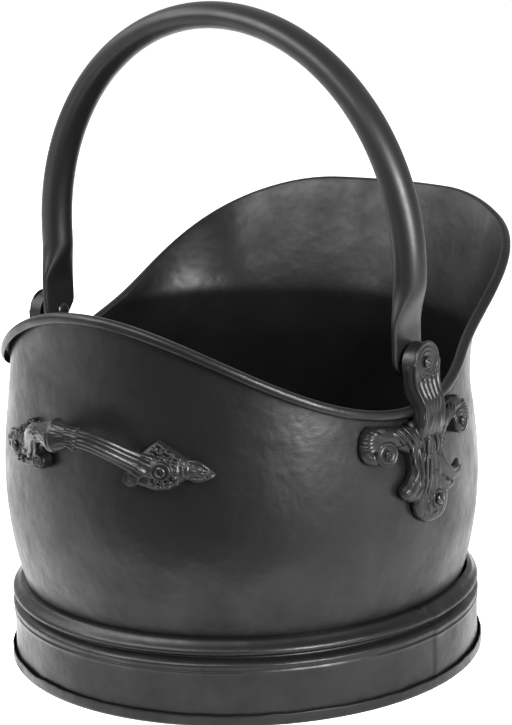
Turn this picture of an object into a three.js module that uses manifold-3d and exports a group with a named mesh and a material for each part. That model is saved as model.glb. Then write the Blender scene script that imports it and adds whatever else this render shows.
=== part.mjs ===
// A helmet coal bucket: a sheet steel barrel with a flared spout, standing in a moulded plinth,
// with a tube bail swinging on two cast brackets and a cast tipping handle at the rear.
// Millimetres, +Z up. The origin is on the floor under the middle of the base.
// The spout points to -Y, the tipping handle to +Y, and the bail turns about a line along X.
import * as THREE from 'three';
import { mergeVertices } from 'three/addons/utils/BufferGeometryUtils.js';
import Module from 'manifold-3d';

const wasm = await Module();
wasm.setup();

const degree = Math.PI / 180;
const aroundSteps = 60;

// Clearances
const fitGap = 0.3;
const boreGap = 0.3;
const cutOverrun = 4;

// Base disc, whose edge is folded up round the plinth's flange
const sheet = 1;
const baseRadius = 165;
const baseFoldHeight = 8.6;
const baseFoldRound = 1.8;
const baseFoldGap = 1.1;
const baseEdgeGap = 0.4;

// Plinth ring: radii from its plain wall, heights stacked from the floor upwards
const plinthFlangeWidth = 1.7;
const plinthRadius = baseRadius - sheet - baseEdgeGap - plinthFlangeWidth;
const plinthCrestStand = 1.1;
const plinthStepStand = 0.9;
const plinthNotchDepth = 3.1;
const plinthStepHeight = 36;
const plinthGrooveRise = 1.7;
const plinthLowerCrestRise = 2.7;
const plinthNotchRise = 5.6;
const plinthUpperCrestRise = 4.8;
const plinthTopRise = 6.4;
const plinthGrooveHeight = plinthStepHeight + plinthGrooveRise;
const plinthLowerCrestHeight = plinthGrooveHeight + plinthLowerCrestRise;
const plinthNotchHeight = plinthLowerCrestHeight + plinthNotchRise;
const plinthUpperCrestHeight = plinthNotchHeight + plinthUpperCrestRise;
const plinthTopHeight = plinthUpperCrestHeight + plinthTopRise;

// Barrel: outside radii at its seat in the plinth, its belly and its neck
const seatInset = 9;
const bellySwell = 10.6;
const neckSwell = 2.1;
const seatDrop = 0.7;
const barrelFootDrop = 11.2;
const bellyRise = 71.5;
const neckRise = 108;
const seatRadius = plinthRadius - seatInset;
const bellyRadius = seatRadius + bellySwell;
const neckRadius = seatRadius + neckSwell;
const seatHeight = plinthTopHeight - seatDrop;
const barrelFootHeight = plinthTopHeight - barrelFootDrop;
const bellyHeight = seatHeight + bellyRise;
const neckHeight = bellyHeight + neckRise;

// Floor pan, wedged in the taper of the barrel's foot
const panRise = 1.5;
const panThickness = 1.2;

// Rim: low at the sides, higher at the rear, highest along the lip of the spout
const sideRimHeight = 197.5;
const rearRimRise = 68.5;
const lipRimRise = 102;
const dipAngle = 80;
const lipAngle = 166;
const rimBeadRadius = 3.4;
const rimBeadTurn = 250;
const rearRimHeight = sideRimHeight + rearRimRise;
const lipRimHeight = sideRimHeight + lipRimRise;

// Spout flare
const spoutFlare = 40;
const flareFromAngle = 107;
const flareFullAngle = 147;
const flareStartDrop = 12.5;
const flareCurve = 1.5;
const flareStartHeight = sideRimHeight - flareStartDrop;

// Pivots of the bail, above the low sides of the rim
const pivotRise = 27.5;
const pivotSetback = 15.5;
const pinRadius = 3;
const pinHeadRadius = 5.4;
const pinHeadHeight = 2.4;
const pinTailRadius = 3.9;
const pinTailHeight = 1.2;
const pivotWasherRadius = 8;
const pivotWasherThickness = 1;
const pivotHeight = sideRimHeight + pivotRise;

// Bail: a steel tube with flattened, drilled ends, inside the neck. Heights above the pivots.
const tubeDiameter = 21.3;
const tubeWall = 1.6;
const crownThickness = 18;
const crownWidth = 24.4;
const strapWidth = 28.5;
const strapThickness = 5;
const strapSlit = 1.2;
const strapInset = 5.5;
const archSpread = 2.1;
const strapFullRise = 20;
const tubeFullRise = 51;
const archSpringRise = 58.5;
const archTopRise = 215.3;
const strapTailLength = 11;
const strapRearCut = 6;
const strapFrontCut = 13;
const strapCutRise = 5;
const bailHalfSpan = neckRadius - strapInset;
const archHalfWidth = bailHalfSpan + archSpread;
const strapFullHeight = pivotHeight + strapFullRise;
const tubeFullHeight = pivotHeight + tubeFullRise;
const archSpringHeight = pivotHeight + archSpringRise;
const archTopHeight = pivotHeight + archTopRise;

// Cast side bracket: an ear for the pivot above a cross of scrolls and leaves under the rim.
// Its arms and curls are placed from the height of the scrolls.
const earRadius = 15;
const earThickness = 12;
const castingThickness = 8;
const castingRoot = 3;
const waistHalfWidth = 10;
const waistDrop = 4.5;
const scrollDrop = 25.5;
const scrollReach = 37;
const scrollRadius = 8.5;
const scrollThickness = 9;
const frontScrollRise = 6.5;
const armReach = 57;
const armRise = 11;
const armHalfHeight = 7;
const upperCurlReach = 27;
const upperCurlDrop = 24;
const lowerCurlReach = 21;
const lowerCurlDrop = 35;
const curlHalfHeight = 4.6;
const bracketFootDrop = 51;
const bracketFootRadius = 13;
const footScrewAlong = -5;
const waistHeight = sideRimHeight - waistDrop;
const scrollHeight = sideRimHeight - scrollDrop;
const upperCurlHeight = scrollHeight - upperCurlDrop;
const lowerCurlHeight = scrollHeight - lowerCurlDrop;
const bracketFootHeight = scrollHeight - bracketFootDrop;

// Cast tipping handle at the rear
const handleMountHeight = 172;
const handleMountReach = 58;
const handleTipReach = 91;
const handleBowReach = 33;
const handleBowRise = 22;
const handleNeckHalfHeight = 6;
const handleNeckHalfDepth = 5.4;
const handleKnuckleHalfHeight = 11;
const handleKnuckleHalfDepth = 7.4;
const handleBlockHalfHeight = 14.5;
const handleBlockDepth = 14;
const handleSeatDepth = 11.5;
const handleLobeReach = 38;
const handleLobeDrop = 9;
const handleLobeRadius = 6.5;

// Fasteners
const screwRadius = 2;
const screwHeadRadius = 3.7;
const screwHeadHeight = 2.5;
const nutHalfWidth = 3.5;
const nutThickness = 3;
const washerRadius = 5;
const washerThickness = 0.8;
const screwTail = 2;
const rivetHeadRadius = 2.8;
const rivetHeadHeight = 1.7;

// Heads and tails: shares of the radius and of the height, from the seat outwards
const pinHeadShares = [[1, 0], [1, 0.3], [0.6, 0.9], [0, 1]];
const pinTailShares = [[1, 0], [0.7, 1], [0, 1]];
const screwHeadShares = [[1, 0], [1, 0.4], [0.7, 0.85], [0, 1]];
const rivetHeadShares = [[1, 0], [0.7, 0.8], [0, 1]];

// Plinth: shares of the radius and the height between two named points of its outline
const plinthLowerBendShares = [0.6, 0.45];
const plinthUpperBendShares = [0.75, 0.5];
const plinthShoulderShares = [0.2, 0.6];
const plinthLipShares = [0.6, 0.92];
const baseFoldShare = 0.6;

// Strap ends: how much of a full corner their section keeps
const strapCornerShare = 0.55;

// Bracket spine: heights round the ear and the foot, and half widths of the stem
const earTopShares = [0.97, 0.84, 0.6, 0.25];
const earBottomShare = 0.35;
const shoulderHeightShare = 0.5;
const shoulderWidthShare = 0.8;
const shoulderOutShare = 0.7;
const scrollWidthShare = 1.25;
const stemHeightShare = 0.5;
const stemWidthShare = 1.05;
const curlWidthShare = 1.3;
const footRoundShares = [0, 0.6, 0.86, 0.98];
const spineFaceShare = 0.6;
const spineFlankShare = 0.3;
const spineEdgeShare = 0.5;

// Ribs of a casting: half width and thickness shares across a rib, then along each rib
// its reach, height, half width and thickness shares
const ribSectionShares = [[-1, 0.35], [-0.6, 0.82], [0, 1], [0.6, 0.82], [1, 0.35]];
const armShares = [
  [0, 0.45, 1.1, 1],
  [0.26, 0.6, 1, 1],
  [0.52, 0.85, 1, 1],
  [0.75, 0.88, 1.1, 1.2],
  [0.9, 0.8, 1.1, 1],
  [1, 0.5, 0.6, 0.5],
];
const upperCurlShares = [
  [0, 0, 1, 0.8],
  [0.5, 0.75, 1, 1],
  [0.8, 1, 1, 0.9],
  [1, 0.9, 0.7, 0.6],
];
const lowerCurlShares = [
  [0, -0.42, 1, 0.8],
  [0.6, 0.7, 1, 1],
  [1, 1, 0.7, 0.6],
];

// Handle: along each stretch its place, distance out, half height and half depth shares
const handleTipShares = [
  [0, 0.21, 0.25, 0.28],
  [0.3, 0.5, 1.1, 0.8],
  [0.55, 0.7, 1, 1],
  [0.72, 0.8, 1.4, 1.2],
];
const handleBlockShares = [
  [0, 1, 1, 1],
  [0.5, 1, 0.85, 0.9],
];
const handleBowShares = [
  [1.05, 0.12, 0.16, 1.25, 1],
  [0.8, 0.5, 0.56, 1, 1],
  [0.5, 0.84, 0.88, 1, 1],
  [0.23, 0.97, 0.98, 1.2, 1.1],
];
const handleLobeShare = 0.7;

// Materials
const sheetPaint = new THREE.MeshStandardMaterial({ color: 0x3c3c3e, roughness: 0.5, metalness: 0.2 });
const tubePaint = new THREE.MeshStandardMaterial({ color: 0x39393b, roughness: 0.42, metalness: 0.2 });
const castPaint = new THREE.MeshStandardMaterial({ color: 0x2a2a2c, roughness: 0.34, metalness: 0.3 });
const fixingPaint = new THREE.MeshStandardMaterial({ color: 0x252527, roughness: 0.38, metalness: 0.4 });

const bucket = new THREE.Group();

function addPiece(name, geometry, material) {
  geometry.computeVertexNormals();
  const mesh = new THREE.Mesh(geometry, material);
  mesh.name = name;
  bucket.add(mesh);
  return mesh;
}

// Solids for joining and cutting
function solidOf(geometry) {
  const bare = geometry.clone();
  bare.deleteAttribute('normal');
  bare.deleteAttribute('uv');
  const merged = mergeVertices(bare);
  return new wasm.Manifold(new wasm.Mesh({
    numProp: 3,
    vertProperties: new Float32Array(merged.attributes.position.array),
    triVerts: new Uint32Array(merged.index.array),
  }));
}

function geometryOf(solid) {
  const mesh = solid.getMesh();
  const geometry = new THREE.BufferGeometry();
  geometry.setAttribute('position', new THREE.BufferAttribute(new Float32Array(mesh.vertProperties), 3));
  geometry.setIndex(new THREE.BufferAttribute(new Uint32Array(mesh.triVerts), 1));
  return geometry;
}

// A closed surface through rings of equally many points. The ends are capped with flat fans,
// or the last ring joins the first one.
function surfaceThrough(rings, joined) {
  const count = rings[0].length;
  const index = [];
  const links = joined ? rings.length : rings.length - 1;
  for (let row = 0; row < links; row += 1) {
    const next = (row + 1) % rings.length;
    for (let side = 0; side < count; side += 1) {
      const other = (side + 1) % count;
      const corners = [row * count + side, row * count + other, next * count + other, next * count + side];
      index.push(corners[0], corners[1], corners[2], corners[0], corners[2], corners[3]);
    }
  }
  if (!joined) {
    const last = (rings.length - 1) * count;
    for (let side = 1; side < count - 1; side += 1) {
      index.push(0, side + 1, side);
      index.push(last, last + side, last + side + 1);
    }
  }
  const geometry = new THREE.BufferGeometry().setFromPoints(rings.flat());
  geometry.setIndex(volumeInside(rings.flat(), index) < 0 ? index.reverse() : index);
  return geometry;
}

function volumeInside(points, index) {
  let total = 0;
  for (let corner = 0; corner < index.length; corner += 3) {
    const [a, b, c] = [points[index[corner]], points[index[corner + 1]], points[index[corner + 2]]];
    total += a.dot(new THREE.Vector3().crossVectors(b, c));
  }
  return total;
}

// A turned piece with its axis along Z, from a profile of radius and height
function turned(profile, steps) {
  const points = profile.map(([radius, height]) => new THREE.Vector2(radius, height));
  return new THREE.LatheGeometry(points, steps).rotateX(Math.PI / 2);
}

function smoothStep(value, low, high) {
  const share = Math.min(Math.max((value - low) / (high - low), 0), 1);
  return share * share * (3 - 2 * share);
}

function mix(low, high, share) {
  return low + (high - low) * share;
}

// Shape of the barrel and the spout. A turn is in degrees from the rear, either way round.
function barrelRadius(height) {
  if (height < bellyHeight) {
    const below = (bellyHeight - height) / (bellyHeight - seatHeight);
    return bellyRadius - (bellyRadius - seatRadius) * below ** 2;
  }
  const above = Math.min((height - bellyHeight) / (neckHeight - bellyHeight), 1);
  return mix(neckRadius, bellyRadius, (1 + Math.cos(Math.PI * above)) / 2);
}

function rimHeight(turn) {
  const away = Math.abs(turn);
  if (away < dipAngle) {
    return mix(sideRimHeight, rearRimHeight, (1 + Math.cos(Math.PI * away / dipAngle)) / 2);
  }
  const share = Math.min((away - dipAngle) / (lipAngle - dipAngle), 1);
  return mix(sideRimHeight, lipRimHeight, Math.sin(Math.PI * share / 2) ** 2);
}

function wallRadius(turn, height) {
  const reach = spoutFlare * smoothStep(Math.abs(turn), flareFromAngle, flareFullAngle);
  const share = Math.max((height - flareStartHeight) / (rimHeight(turn) - flareStartHeight), 0);
  return barrelRadius(height) + reach * share ** flareCurve;
}

// Outward lean of the wall from the vertical
function wallLean(turn, height) {
  return Math.atan2(wallRadius(turn, height) - wallRadius(turn, height - sheet), sheet);
}

function polar(turn, radius, height) {
  const angle = turn * degree;
  return new THREE.Vector3(-radius * Math.sin(angle), radius * Math.cos(angle), height);
}

// One vertical slice of the wall at a turn: its middle line, and the centre of the rolled rim
function wallPoint(turn, height, outward) {
  const lean = wallLean(turn, height);
  const radius = wallRadius(turn, height) - sheet / 2 + outward * Math.cos(lean);
  return polar(turn, radius, height - outward * Math.sin(lean));
}

function rimCentre(turn) {
  const height = rimHeight(turn) - rimBeadRadius - sheet / 2;
  const lean = wallLean(turn, height);
  const wallEnd = height + rimBeadRadius * Math.sin(lean);
  const radius = wallRadius(turn, wallEnd) - sheet / 2 + rimBeadRadius * Math.cos(lean);
  return { height, lean, wallEnd, radius };
}

function rimPoint(turn, centre, angle, radius) {
  const outward = radius * Math.cos(angle * degree);
  const along = radius * Math.sin(angle * degree);
  const lean = centre.lean;
  return polar(
    turn,
    centre.radius + outward * Math.cos(lean) + along * Math.sin(lean),
    centre.height - outward * Math.sin(lean) + along * Math.cos(lean),
  );
}

const wallRows = 8;
const rimSteps = 6;

function shellSlice(turn) {
  const centre = rimCentre(turn);
  const slice = [];
  for (let row = 0; row < wallRows; row += 1) {
    slice.push(wallPoint(turn, mix(barrelFootHeight, centre.wallEnd, row / wallRows), sheet / 2));
  }
  for (let step = 0; step <= rimSteps; step += 1) {
    slice.push(rimPoint(turn, centre, 180 - rimBeadTurn * step / rimSteps, rimBeadRadius - sheet / 2));
  }
  for (let step = rimSteps; step >= 0; step -= 1) {
    slice.push(rimPoint(turn, centre, 180 - rimBeadTurn * step / rimSteps, rimBeadRadius + sheet / 2));
  }
  for (let row = wallRows - 1; row >= 0; row -= 1) {
    slice.push(wallPoint(turn, mix(barrelFootHeight, centre.wallEnd, row / wallRows), -sheet / 2));
  }
  return slice;
}

const turns = Array.from({ length: aroundSteps }, (_, step) => 360 * step / aroundSteps - 180);

// Everything inside the barrel's outer face and rim, grown by the fit gap, to seat castings on.
// A slice runs up the wall, steps out under the rolled rim and rounds it.
const envelopeRimAngles = [-60, -30, 0, 30, 60, 90];

function envelopeSlice(turn) {
  const centre = rimCentre(turn);
  const slice = [];
  const rimOutside = rimBeadRadius + sheet / 2 + fitGap;
  const underRim = centre.wallEnd - rimOutside;
  for (let row = 0; row <= wallRows; row += 1) {
    slice.push(wallPoint(turn, mix(barrelFootHeight, underRim, row / wallRows), sheet / 2 + fitGap));
  }
  for (const angle of envelopeRimAngles) {
    slice.push(rimPoint(turn, centre, angle, rimOutside));
  }
  return slice;
}

function envelopeSolid() {
  const slices = turns.map(envelopeSlice);
  const rows = slices[0].length;
  const points = [
    new THREE.Vector3(0, 0, barrelFootHeight),
    ...slices.flat(),
    new THREE.Vector3(0, 0, lipRimHeight),
  ];
  const top = points.length - 1;
  const index = [];
  for (let column = 0; column < aroundSteps; column += 1) {
    const here = 1 + column * rows;
    const next = 1 + ((column + 1) % aroundSteps) * rows;
    index.push(0, next, here);
    for (let row = 0; row < rows - 1; row += 1) {
      index.push(here + row, next + row, next + row + 1);
      index.push(here + row, next + row + 1, here + row + 1);
    }
    index.push(top, here + rows - 1, next + rows - 1);
  }
  const geometry = new THREE.BufferGeometry().setFromPoints(points);
  geometry.setIndex(volumeInside(points, index) < 0 ? index.reverse() : index);
  return solidOf(geometry);
}

const envelope = envelopeSolid();

// A place on the wall: its outer face, facing straight out from the barrel's axis
function wallPlace(turn, height) {
  const place = new THREE.Object3D();
  place.position.copy(polar(turn, wallRadius(turn, height), height));
  place.up.set(0, 0, 1);
  place.lookAt(place.position.clone().add(polar(turn, bellyRadius, 0)));
  place.updateMatrix();
  return place;
}

// A cylinder along a place's outward line, from one distance to another
function drill(place, radius, from, to, sides) {
  const cylinder = new THREE.CylinderGeometry(radius, radius, to - from, sides);
  cylinder.rotateX(Math.PI / 2);
  cylinder.translate(0, 0, (from + to) / 2);
  cylinder.applyMatrix4(place.matrix);
  return solidOf(cylinder);
}

const boreSides = 12;

// Places of the fasteners
const sides = [{ name: 'left', sign: 1 }, { name: 'right', sign: -1 }];

// The turn of a point at a distance along the wall behind (or before) a bracket's middle line
function bracketTurn(sign, along) {
  const reach = Math.asin(pivotSetback / neckRadius) + along / bellyRadius;
  return sign * -(90 - reach / degree);
}

function handleTurn(across) {
  return -Math.asin(across / bellyRadius) / degree;
}

const footScrewHeight = bracketFootHeight + bracketFootRadius;
const scrollEnds = [
  { end: 'front', along: -scrollReach, height: scrollHeight + frontScrollRise },
  { end: 'rear', along: scrollReach, height: scrollHeight },
];

const fixings = [];

function addFixing(name, kind, turn, height, seat) {
  fixings.push({ name, kind, seat, place: wallPlace(turn, height), lean: wallLean(turn, height) });
}

for (const { name, sign } of sides) {
  const footTurn = bracketTurn(sign, footScrewAlong);
  addFixing(`bracket_${name}_foot_screw`, 'screw', footTurn, footScrewHeight, castingThickness);
  for (const { end, along, height } of scrollEnds) {
    const turn = bracketTurn(sign, along);
    addFixing(`bracket_${name}_${end}_rivet`, 'rivet', turn, height, scrollThickness);
  }
  const handleScrewTurn = handleTurn(sign * handleMountReach);
  addFixing(`handle_${name}_screw`, 'screw', handleScrewTurn, handleMountHeight, handleSeatDepth);
}

// Barrel and spout
let shell = solidOf(surfaceThrough(turns.map(shellSlice), true));
for (const fixing of fixings) {
  shell = shell.subtract(drill(fixing.place, screwRadius + boreGap, -cutOverrun, cutOverrun, boreSides));
}
addPiece('body_shell', geometryOf(shell), sheetPaint);

// Floor pan: a flat disc whose edge follows the taper
const panBottom = barrelFootHeight + panRise;
const panGap = sheet / Math.cos(wallLean(0, panBottom)) + fitGap;
addPiece('floor_pan', turned([
  [0, panBottom],
  [barrelRadius(panBottom) - panGap, panBottom],
  [barrelRadius(panBottom + panThickness) - panGap, panBottom + panThickness],
  [0, panBottom + panThickness],
], aroundSteps), sheetPaint);

// Plinth ring: a band with two swaged mouldings, whose top lip grips the barrel
const plinthBottom = sheet + fitGap;
const lipRadius = barrelRadius(plinthTopHeight) + fitGap;

// A point of the plinth's outline between two others, by its radius and height shares
function plinthPoint(from, to, [radiusShare, heightShare]) {
  return [mix(from[0], to[0], radiusShare), mix(from[1], to[1], heightShare)];
}

const lowerCrest = [plinthRadius + plinthCrestStand, plinthLowerCrestHeight];
const notch = [plinthRadius - plinthNotchDepth, plinthNotchHeight];
const upperCrest = [plinthRadius + plinthCrestStand, plinthUpperCrestHeight];
const lip = [lipRadius, plinthTopHeight];
const lipBend = plinthPoint(upperCrest, lip, plinthLipShares);
const plinthOutside = [
  [plinthRadius + plinthFlangeWidth, plinthBottom],
  [plinthRadius + plinthFlangeWidth, plinthBottom + sheet],
  [plinthRadius, plinthBottom + sheet],
  [plinthRadius, plinthStepHeight - sheet],
  [plinthRadius + plinthStepStand, plinthStepHeight],
  [plinthRadius, plinthGrooveHeight],
  lowerCrest,
  plinthPoint(notch, lowerCrest, plinthLowerBendShares),
  notch,
  plinthPoint(notch, upperCrest, plinthUpperBendShares),
  upperCrest,
  plinthPoint(upperCrest, lip, plinthShoulderShares),
  lipBend,
  lip,
];
const plinthInside = [
  [lipRadius, plinthTopHeight - sheet],
  [lipBend[0], lipBend[1] - sheet],
  [upperCrest[0] - sheet, upperCrest[1]],
  [notch[0] - sheet, notch[1]],
  [lowerCrest[0] - sheet, lowerCrest[1]],
  [plinthRadius - sheet, plinthStepHeight - sheet],
  [plinthRadius - sheet, plinthBottom],
];
const plinthProfile = [...plinthOutside, ...plinthInside, plinthOutside[0]];
addPiece('plinth_ring', turned(plinthProfile, aroundSteps), sheetPaint);

// Base disc with its edge folded up and over
const foldInside = plinthRadius + baseFoldGap;
addPiece('base_disc', turned([
  [0, 0],
  [baseRadius - baseFoldRound, 0],
  [baseRadius, baseFoldRound],
  [baseRadius, baseFoldHeight - baseFoldRound],
  [mix(foldInside, baseRadius, baseFoldShare), baseFoldHeight],
  [foldInside, baseFoldHeight],
  [foldInside, baseFoldHeight - sheet],
  [baseRadius - sheet, baseFoldHeight - baseFoldRound],
  [baseRadius - sheet, sheet],
  [0, sheet],
], aroundSteps), sheetPaint);

// Bail: stations along its middle line, from the tail of one strap over the arch to the other
const tubeRadius = tubeDiameter / 2;
const archSteps = 26;
const flattenSteps = 4;
const bailSides = 12;

function bailStations() {
  const half = [];
  const legHeights = [
    pivotHeight - strapTailLength,
    pivotHeight - strapRearCut,
    pivotHeight + strapCutRise,
  ];
  for (let step = 0; step <= flattenSteps; step += 1) {
    legHeights.push(mix(strapFullHeight, tubeFullHeight, step / flattenSteps));
  }
  for (const height of legHeights) {
    const lift = smoothStep(height, strapFullHeight, archSpringHeight);
    half.push({ x: mix(bailHalfSpan, archHalfWidth, lift), z: height, tangent: [0, 1] });
  }
  for (let step = 0; step < archSteps / 2; step += 1) {
    const angle = Math.PI * step / archSteps;
    const rise = archTopHeight - archSpringHeight;
    half.push({
      x: archHalfWidth * Math.cos(angle),
      z: archSpringHeight + rise * Math.sin(angle),
      tangent: [-archHalfWidth * Math.sin(angle), rise * Math.cos(angle)],
    });
  }
  const crown = { x: 0, z: archTopHeight, tangent: [-1, 0] };
  const mirrored = half.toReversed().map((station) => ({
    x: -station.x,
    z: station.z,
    tangent: [station.tangent[0], -station.tangent[1]],
  }));
  return [...half, crown, ...mirrored];
}

// Half thickness in the arch's plane, and how far the section reaches to the front and the rear
function bailSection(height) {
  const round = smoothStep(height, strapFullHeight, tubeFullHeight);
  const crown = smoothStep(height, archSpringHeight, archTopHeight);
  const legThickness = mix(strapThickness / 2, tubeRadius, round);
  const legWidth = mix(strapWidth / 2, tubeRadius, round);
  const cutFrom = pivotHeight + strapCutRise;
  const cutTo = pivotHeight - strapTailLength;
  const rearFrom = pivotHeight - strapRearCut;
  const frontCut = strapFrontCut * Math.min(Math.max((cutFrom - height) / (cutFrom - cutTo), 0), 1);
  const rearCut = strapRearCut * Math.min(Math.max((rearFrom - height) / (rearFrom - cutTo), 0), 1);
  return {
    thickness: mix(legThickness, crownThickness / 2, crown),
    front: mix(legWidth, crownWidth / 2, crown) - frontCut,
    rear: mix(legWidth, crownWidth / 2, crown) - rearCut,
    squareness: 1 - round,
  };
}

function bailRing(station, inset) {
  const section = bailSection(station.z);
  const [tangentX, tangentZ] = station.tangent;
  const length = Math.hypot(tangentX, tangentZ);
  const normal = new THREE.Vector3(tangentZ / length, 0, -tangentX / length);
  const thinnest = inset > 0 ? strapSlit / 2 : strapThickness / 2;
  const thickness = Math.max(section.thickness - inset, thinnest);
  const power = mix(1, strapCornerShare, section.squareness);
  const ring = [];
  for (let side = 0; side < bailSides; side += 1) {
    const angle = 2 * Math.PI * side / bailSides;
    const [cos, sin] = [Math.cos(angle), Math.sin(angle)];
    const reach = (sin < 0 ? section.front : section.rear) - inset;
    const out = thickness * Math.sign(cos) * Math.abs(cos) ** power;
    const along = reach * Math.sign(sin) * Math.abs(sin) ** power;
    ring.push(new THREE.Vector3(station.x, pivotSetback + along, station.z).addScaledVector(normal, out));
  }
  return ring;
}

// The tube's bore runs out at the cut ends as a thin slit
function bailGeometry() {
  const stations = bailStations();
  const outer = stations.map((station) => bailRing(station, 0));
  const inner = stations.map((station) => bailRing(station, tubeWall));
  return surfaceThrough([...outer, ...inner.toReversed()], true);
}

let bail = solidOf(bailGeometry());

// Pivots: pin, washers, ear and strap on one line along X
const strapInside = bailHalfSpan - strapThickness / 2;
const strapOutside = bailHalfSpan + strapThickness / 2;
const washerInside = strapOutside + fitGap;
const earInside = washerInside + pivotWasherThickness + fitGap;
const earOutside = earInside + earThickness;

function pivotPlace(sign) {
  const place = new THREE.Object3D();
  place.position.set(0, pivotSetback, pivotHeight);
  place.rotation.y = sign * Math.PI / 2;
  place.updateMatrix();
  return place;
}

function turnedAt(place, profile, steps) {
  return turned(profile, steps).applyMatrix4(place.matrix);
}

for (const { sign } of sides) {
  const bore = drill(pivotPlace(sign), pinRadius + boreGap, strapInside - cutOverrun, earInside, boreSides);
  bail = bail.subtract(bore);
}

// A head or tail outline, from its seat towards its end
function headProfile(shares, radius, seat, height) {
  return shares.map(([radiusShare, heightShare]) => [radius * radiusShare, seat + height * heightShare]);
}

// Flat ring on a line, as for washers
function ringProfile(inner, outer, from, to) {
  return [[inner, from], [outer, from], [outer, to], [inner, to], [inner, from]];
}

for (const { name, sign } of sides) {
  const place = pivotPlace(sign);
  const headFace = strapInside - fitGap;
  const tailFace = earOutside + fitGap;
  addPiece(`pivot_pin_${name}`, turnedAt(place, [
    ...headProfile(pinHeadShares, pinHeadRadius, headFace, -pinHeadHeight).toReversed(),
    [pinRadius, headFace],
    [pinRadius, tailFace],
    ...headProfile(pinTailShares, pinTailRadius, tailFace, pinTailHeight),
  ], boreSides), fixingPaint);
  const washer = ringProfile(
    pinRadius + boreGap, pivotWasherRadius, washerInside, washerInside + pivotWasherThickness,
  );
  addPiece(`pivot_washer_${name}`, turnedAt(place, washer, boreSides), fixingPaint);
}
addPiece('bail', geometryOf(bail), tubePaint);

// A raised rib on the wall: it follows points along and above the wall, and its root is cut
// away by the barrel's envelope
function wallRib(toTurn, stations) {
  const rings = stations.map((station, order) => {
    const before = stations[Math.max(order - 1, 0)];
    const after = stations[Math.min(order + 1, stations.length - 1)];
    const heading = Math.atan2(after.height - before.height, after.along - before.along);
    const corners = ribSection(station);
    return corners.map(([across, outward]) => {
      const along = station.along - across * Math.sin(heading);
      const height = station.height + across * Math.cos(heading);
      const turn = toTurn(along);
      return polar(turn, wallRadius(turn, height) + outward, height);
    });
  });
  return solidOf(surfaceThrough(rings, false));
}

function ribSection({ half, thick }) {
  const crest = ribSectionShares.map(([acrossShare, outShare]) => [half * acrossShare, thick * outShare]);
  return [[-half, -castingRoot], ...crest, [half, -castingRoot]];
}

// Stations of a rib that runs from the bracket's middle line to its reach, between two heights
function ribStations(shares, reach, from, to, half) {
  return shares.map(([reachShare, heightShare, halfShare, thickShare]) => ({
    along: reach * reachShare,
    height: mix(from, to, heightShare),
    half: half * halfShare,
    thick: castingThickness * thickShare,
  }));
}

// Spine of the bracket: the ear above, an S-bend out over the rim, and the stem down the wall.
// Each row gives a height, a half width, and the inner and outer faces as distances from the
// plane through the barrel's axis.
function spineRows() {
  const earBottom = pivotHeight - earRadius;
  const rimOutside = neckRadius + rimBeadRadius * 2 + sheet + fitGap;
  const underRim = sideRimHeight - rimBeadRadius * 2 - sheet - fitGap;
  const seated = (height, half) => {
    const wall = wallRadius(90, height);
    const seat = height > underRim ? rimOutside : wall;
    return [height, half, wall - castingRoot, seat + castingThickness];
  };
  const rows = [[pivotHeight, earRadius, earInside, earOutside]];
  for (const share of earTopShares) {
    const halfChord = earRadius * Math.sqrt(1 - share ** 2);
    rows.push([pivotHeight + earRadius * share, halfChord, earInside, earOutside]);
  }
  rows.push([earBottom, mix(earRadius, waistHalfWidth, earBottomShare), earInside, earOutside + sheet]);
  rows.push([
    mix(earBottom, waistHeight, shoulderHeightShare),
    mix(earRadius, waistHalfWidth, shoulderWidthShare),
    earInside,
    rimOutside + castingThickness * shoulderOutShare,
  ]);
  rows.push(seated(waistHeight, waistHalfWidth));
  rows.push(seated(scrollHeight, waistHalfWidth * scrollWidthShare));
  rows.push(seated(mix(scrollHeight, upperCurlHeight, stemHeightShare), waistHalfWidth * stemWidthShare));
  rows.push(seated(upperCurlHeight, waistHalfWidth * curlWidthShare));
  const footMiddle = bracketFootHeight + bracketFootRadius;
  for (const share of footRoundShares) {
    const halfChord = bracketFootRadius * Math.sqrt(1 - share ** 2);
    rows.push(seated(footMiddle - bracketFootRadius * share, halfChord));
  }
  return rows.sort(([upper], [lower]) => lower - upper);
}

function spine(sign) {
  const rings = spineRows().map(([height, half, inner, outer]) => {
    const edge = Math.min((outer - inner) * spineFlankShare, half * spineEdgeShare);
    const corners = [
      [inner, -half], [outer - edge, -half], [outer, -half * spineFaceShare],
      [outer, half * spineFaceShare], [outer - edge, half], [inner, half],
    ];
    return corners.map(([out, across]) => new THREE.Vector3(sign * out, pivotSetback + across, height));
  });
  return solidOf(surfaceThrough(rings, false));
}

function bracket(sign) {
  const onWall = (along) => bracketTurn(sign, along);
  let casting = spine(sign);
  for (const { along, height } of scrollEnds) {
    const way = Math.sign(along);
    const armTop = height + armRise;
    const ribs = [
      ribStations(armShares, way * armReach, height, armTop, armHalfHeight),
      ribStations(upperCurlShares, way * upperCurlReach, scrollHeight, upperCurlHeight, curlHalfHeight),
      ribStations(lowerCurlShares, way * lowerCurlReach, upperCurlHeight, lowerCurlHeight, curlHalfHeight),
    ];
    for (const stations of ribs) {
      casting = casting.add(wallRib(onWall, stations));
    }
    const eye = wallPlace(onWall(along), height);
    casting = casting.add(drill(eye, scrollRadius, -castingRoot, scrollThickness, boreSides));
  }
  const boreEnd = earOutside + cutOverrun;
  const pinBore = drill(pivotPlace(sign), pinRadius + boreGap, strapInside, boreEnd, boreSides);
  return casting.subtract(envelope).subtract(pinBore);
}

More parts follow.
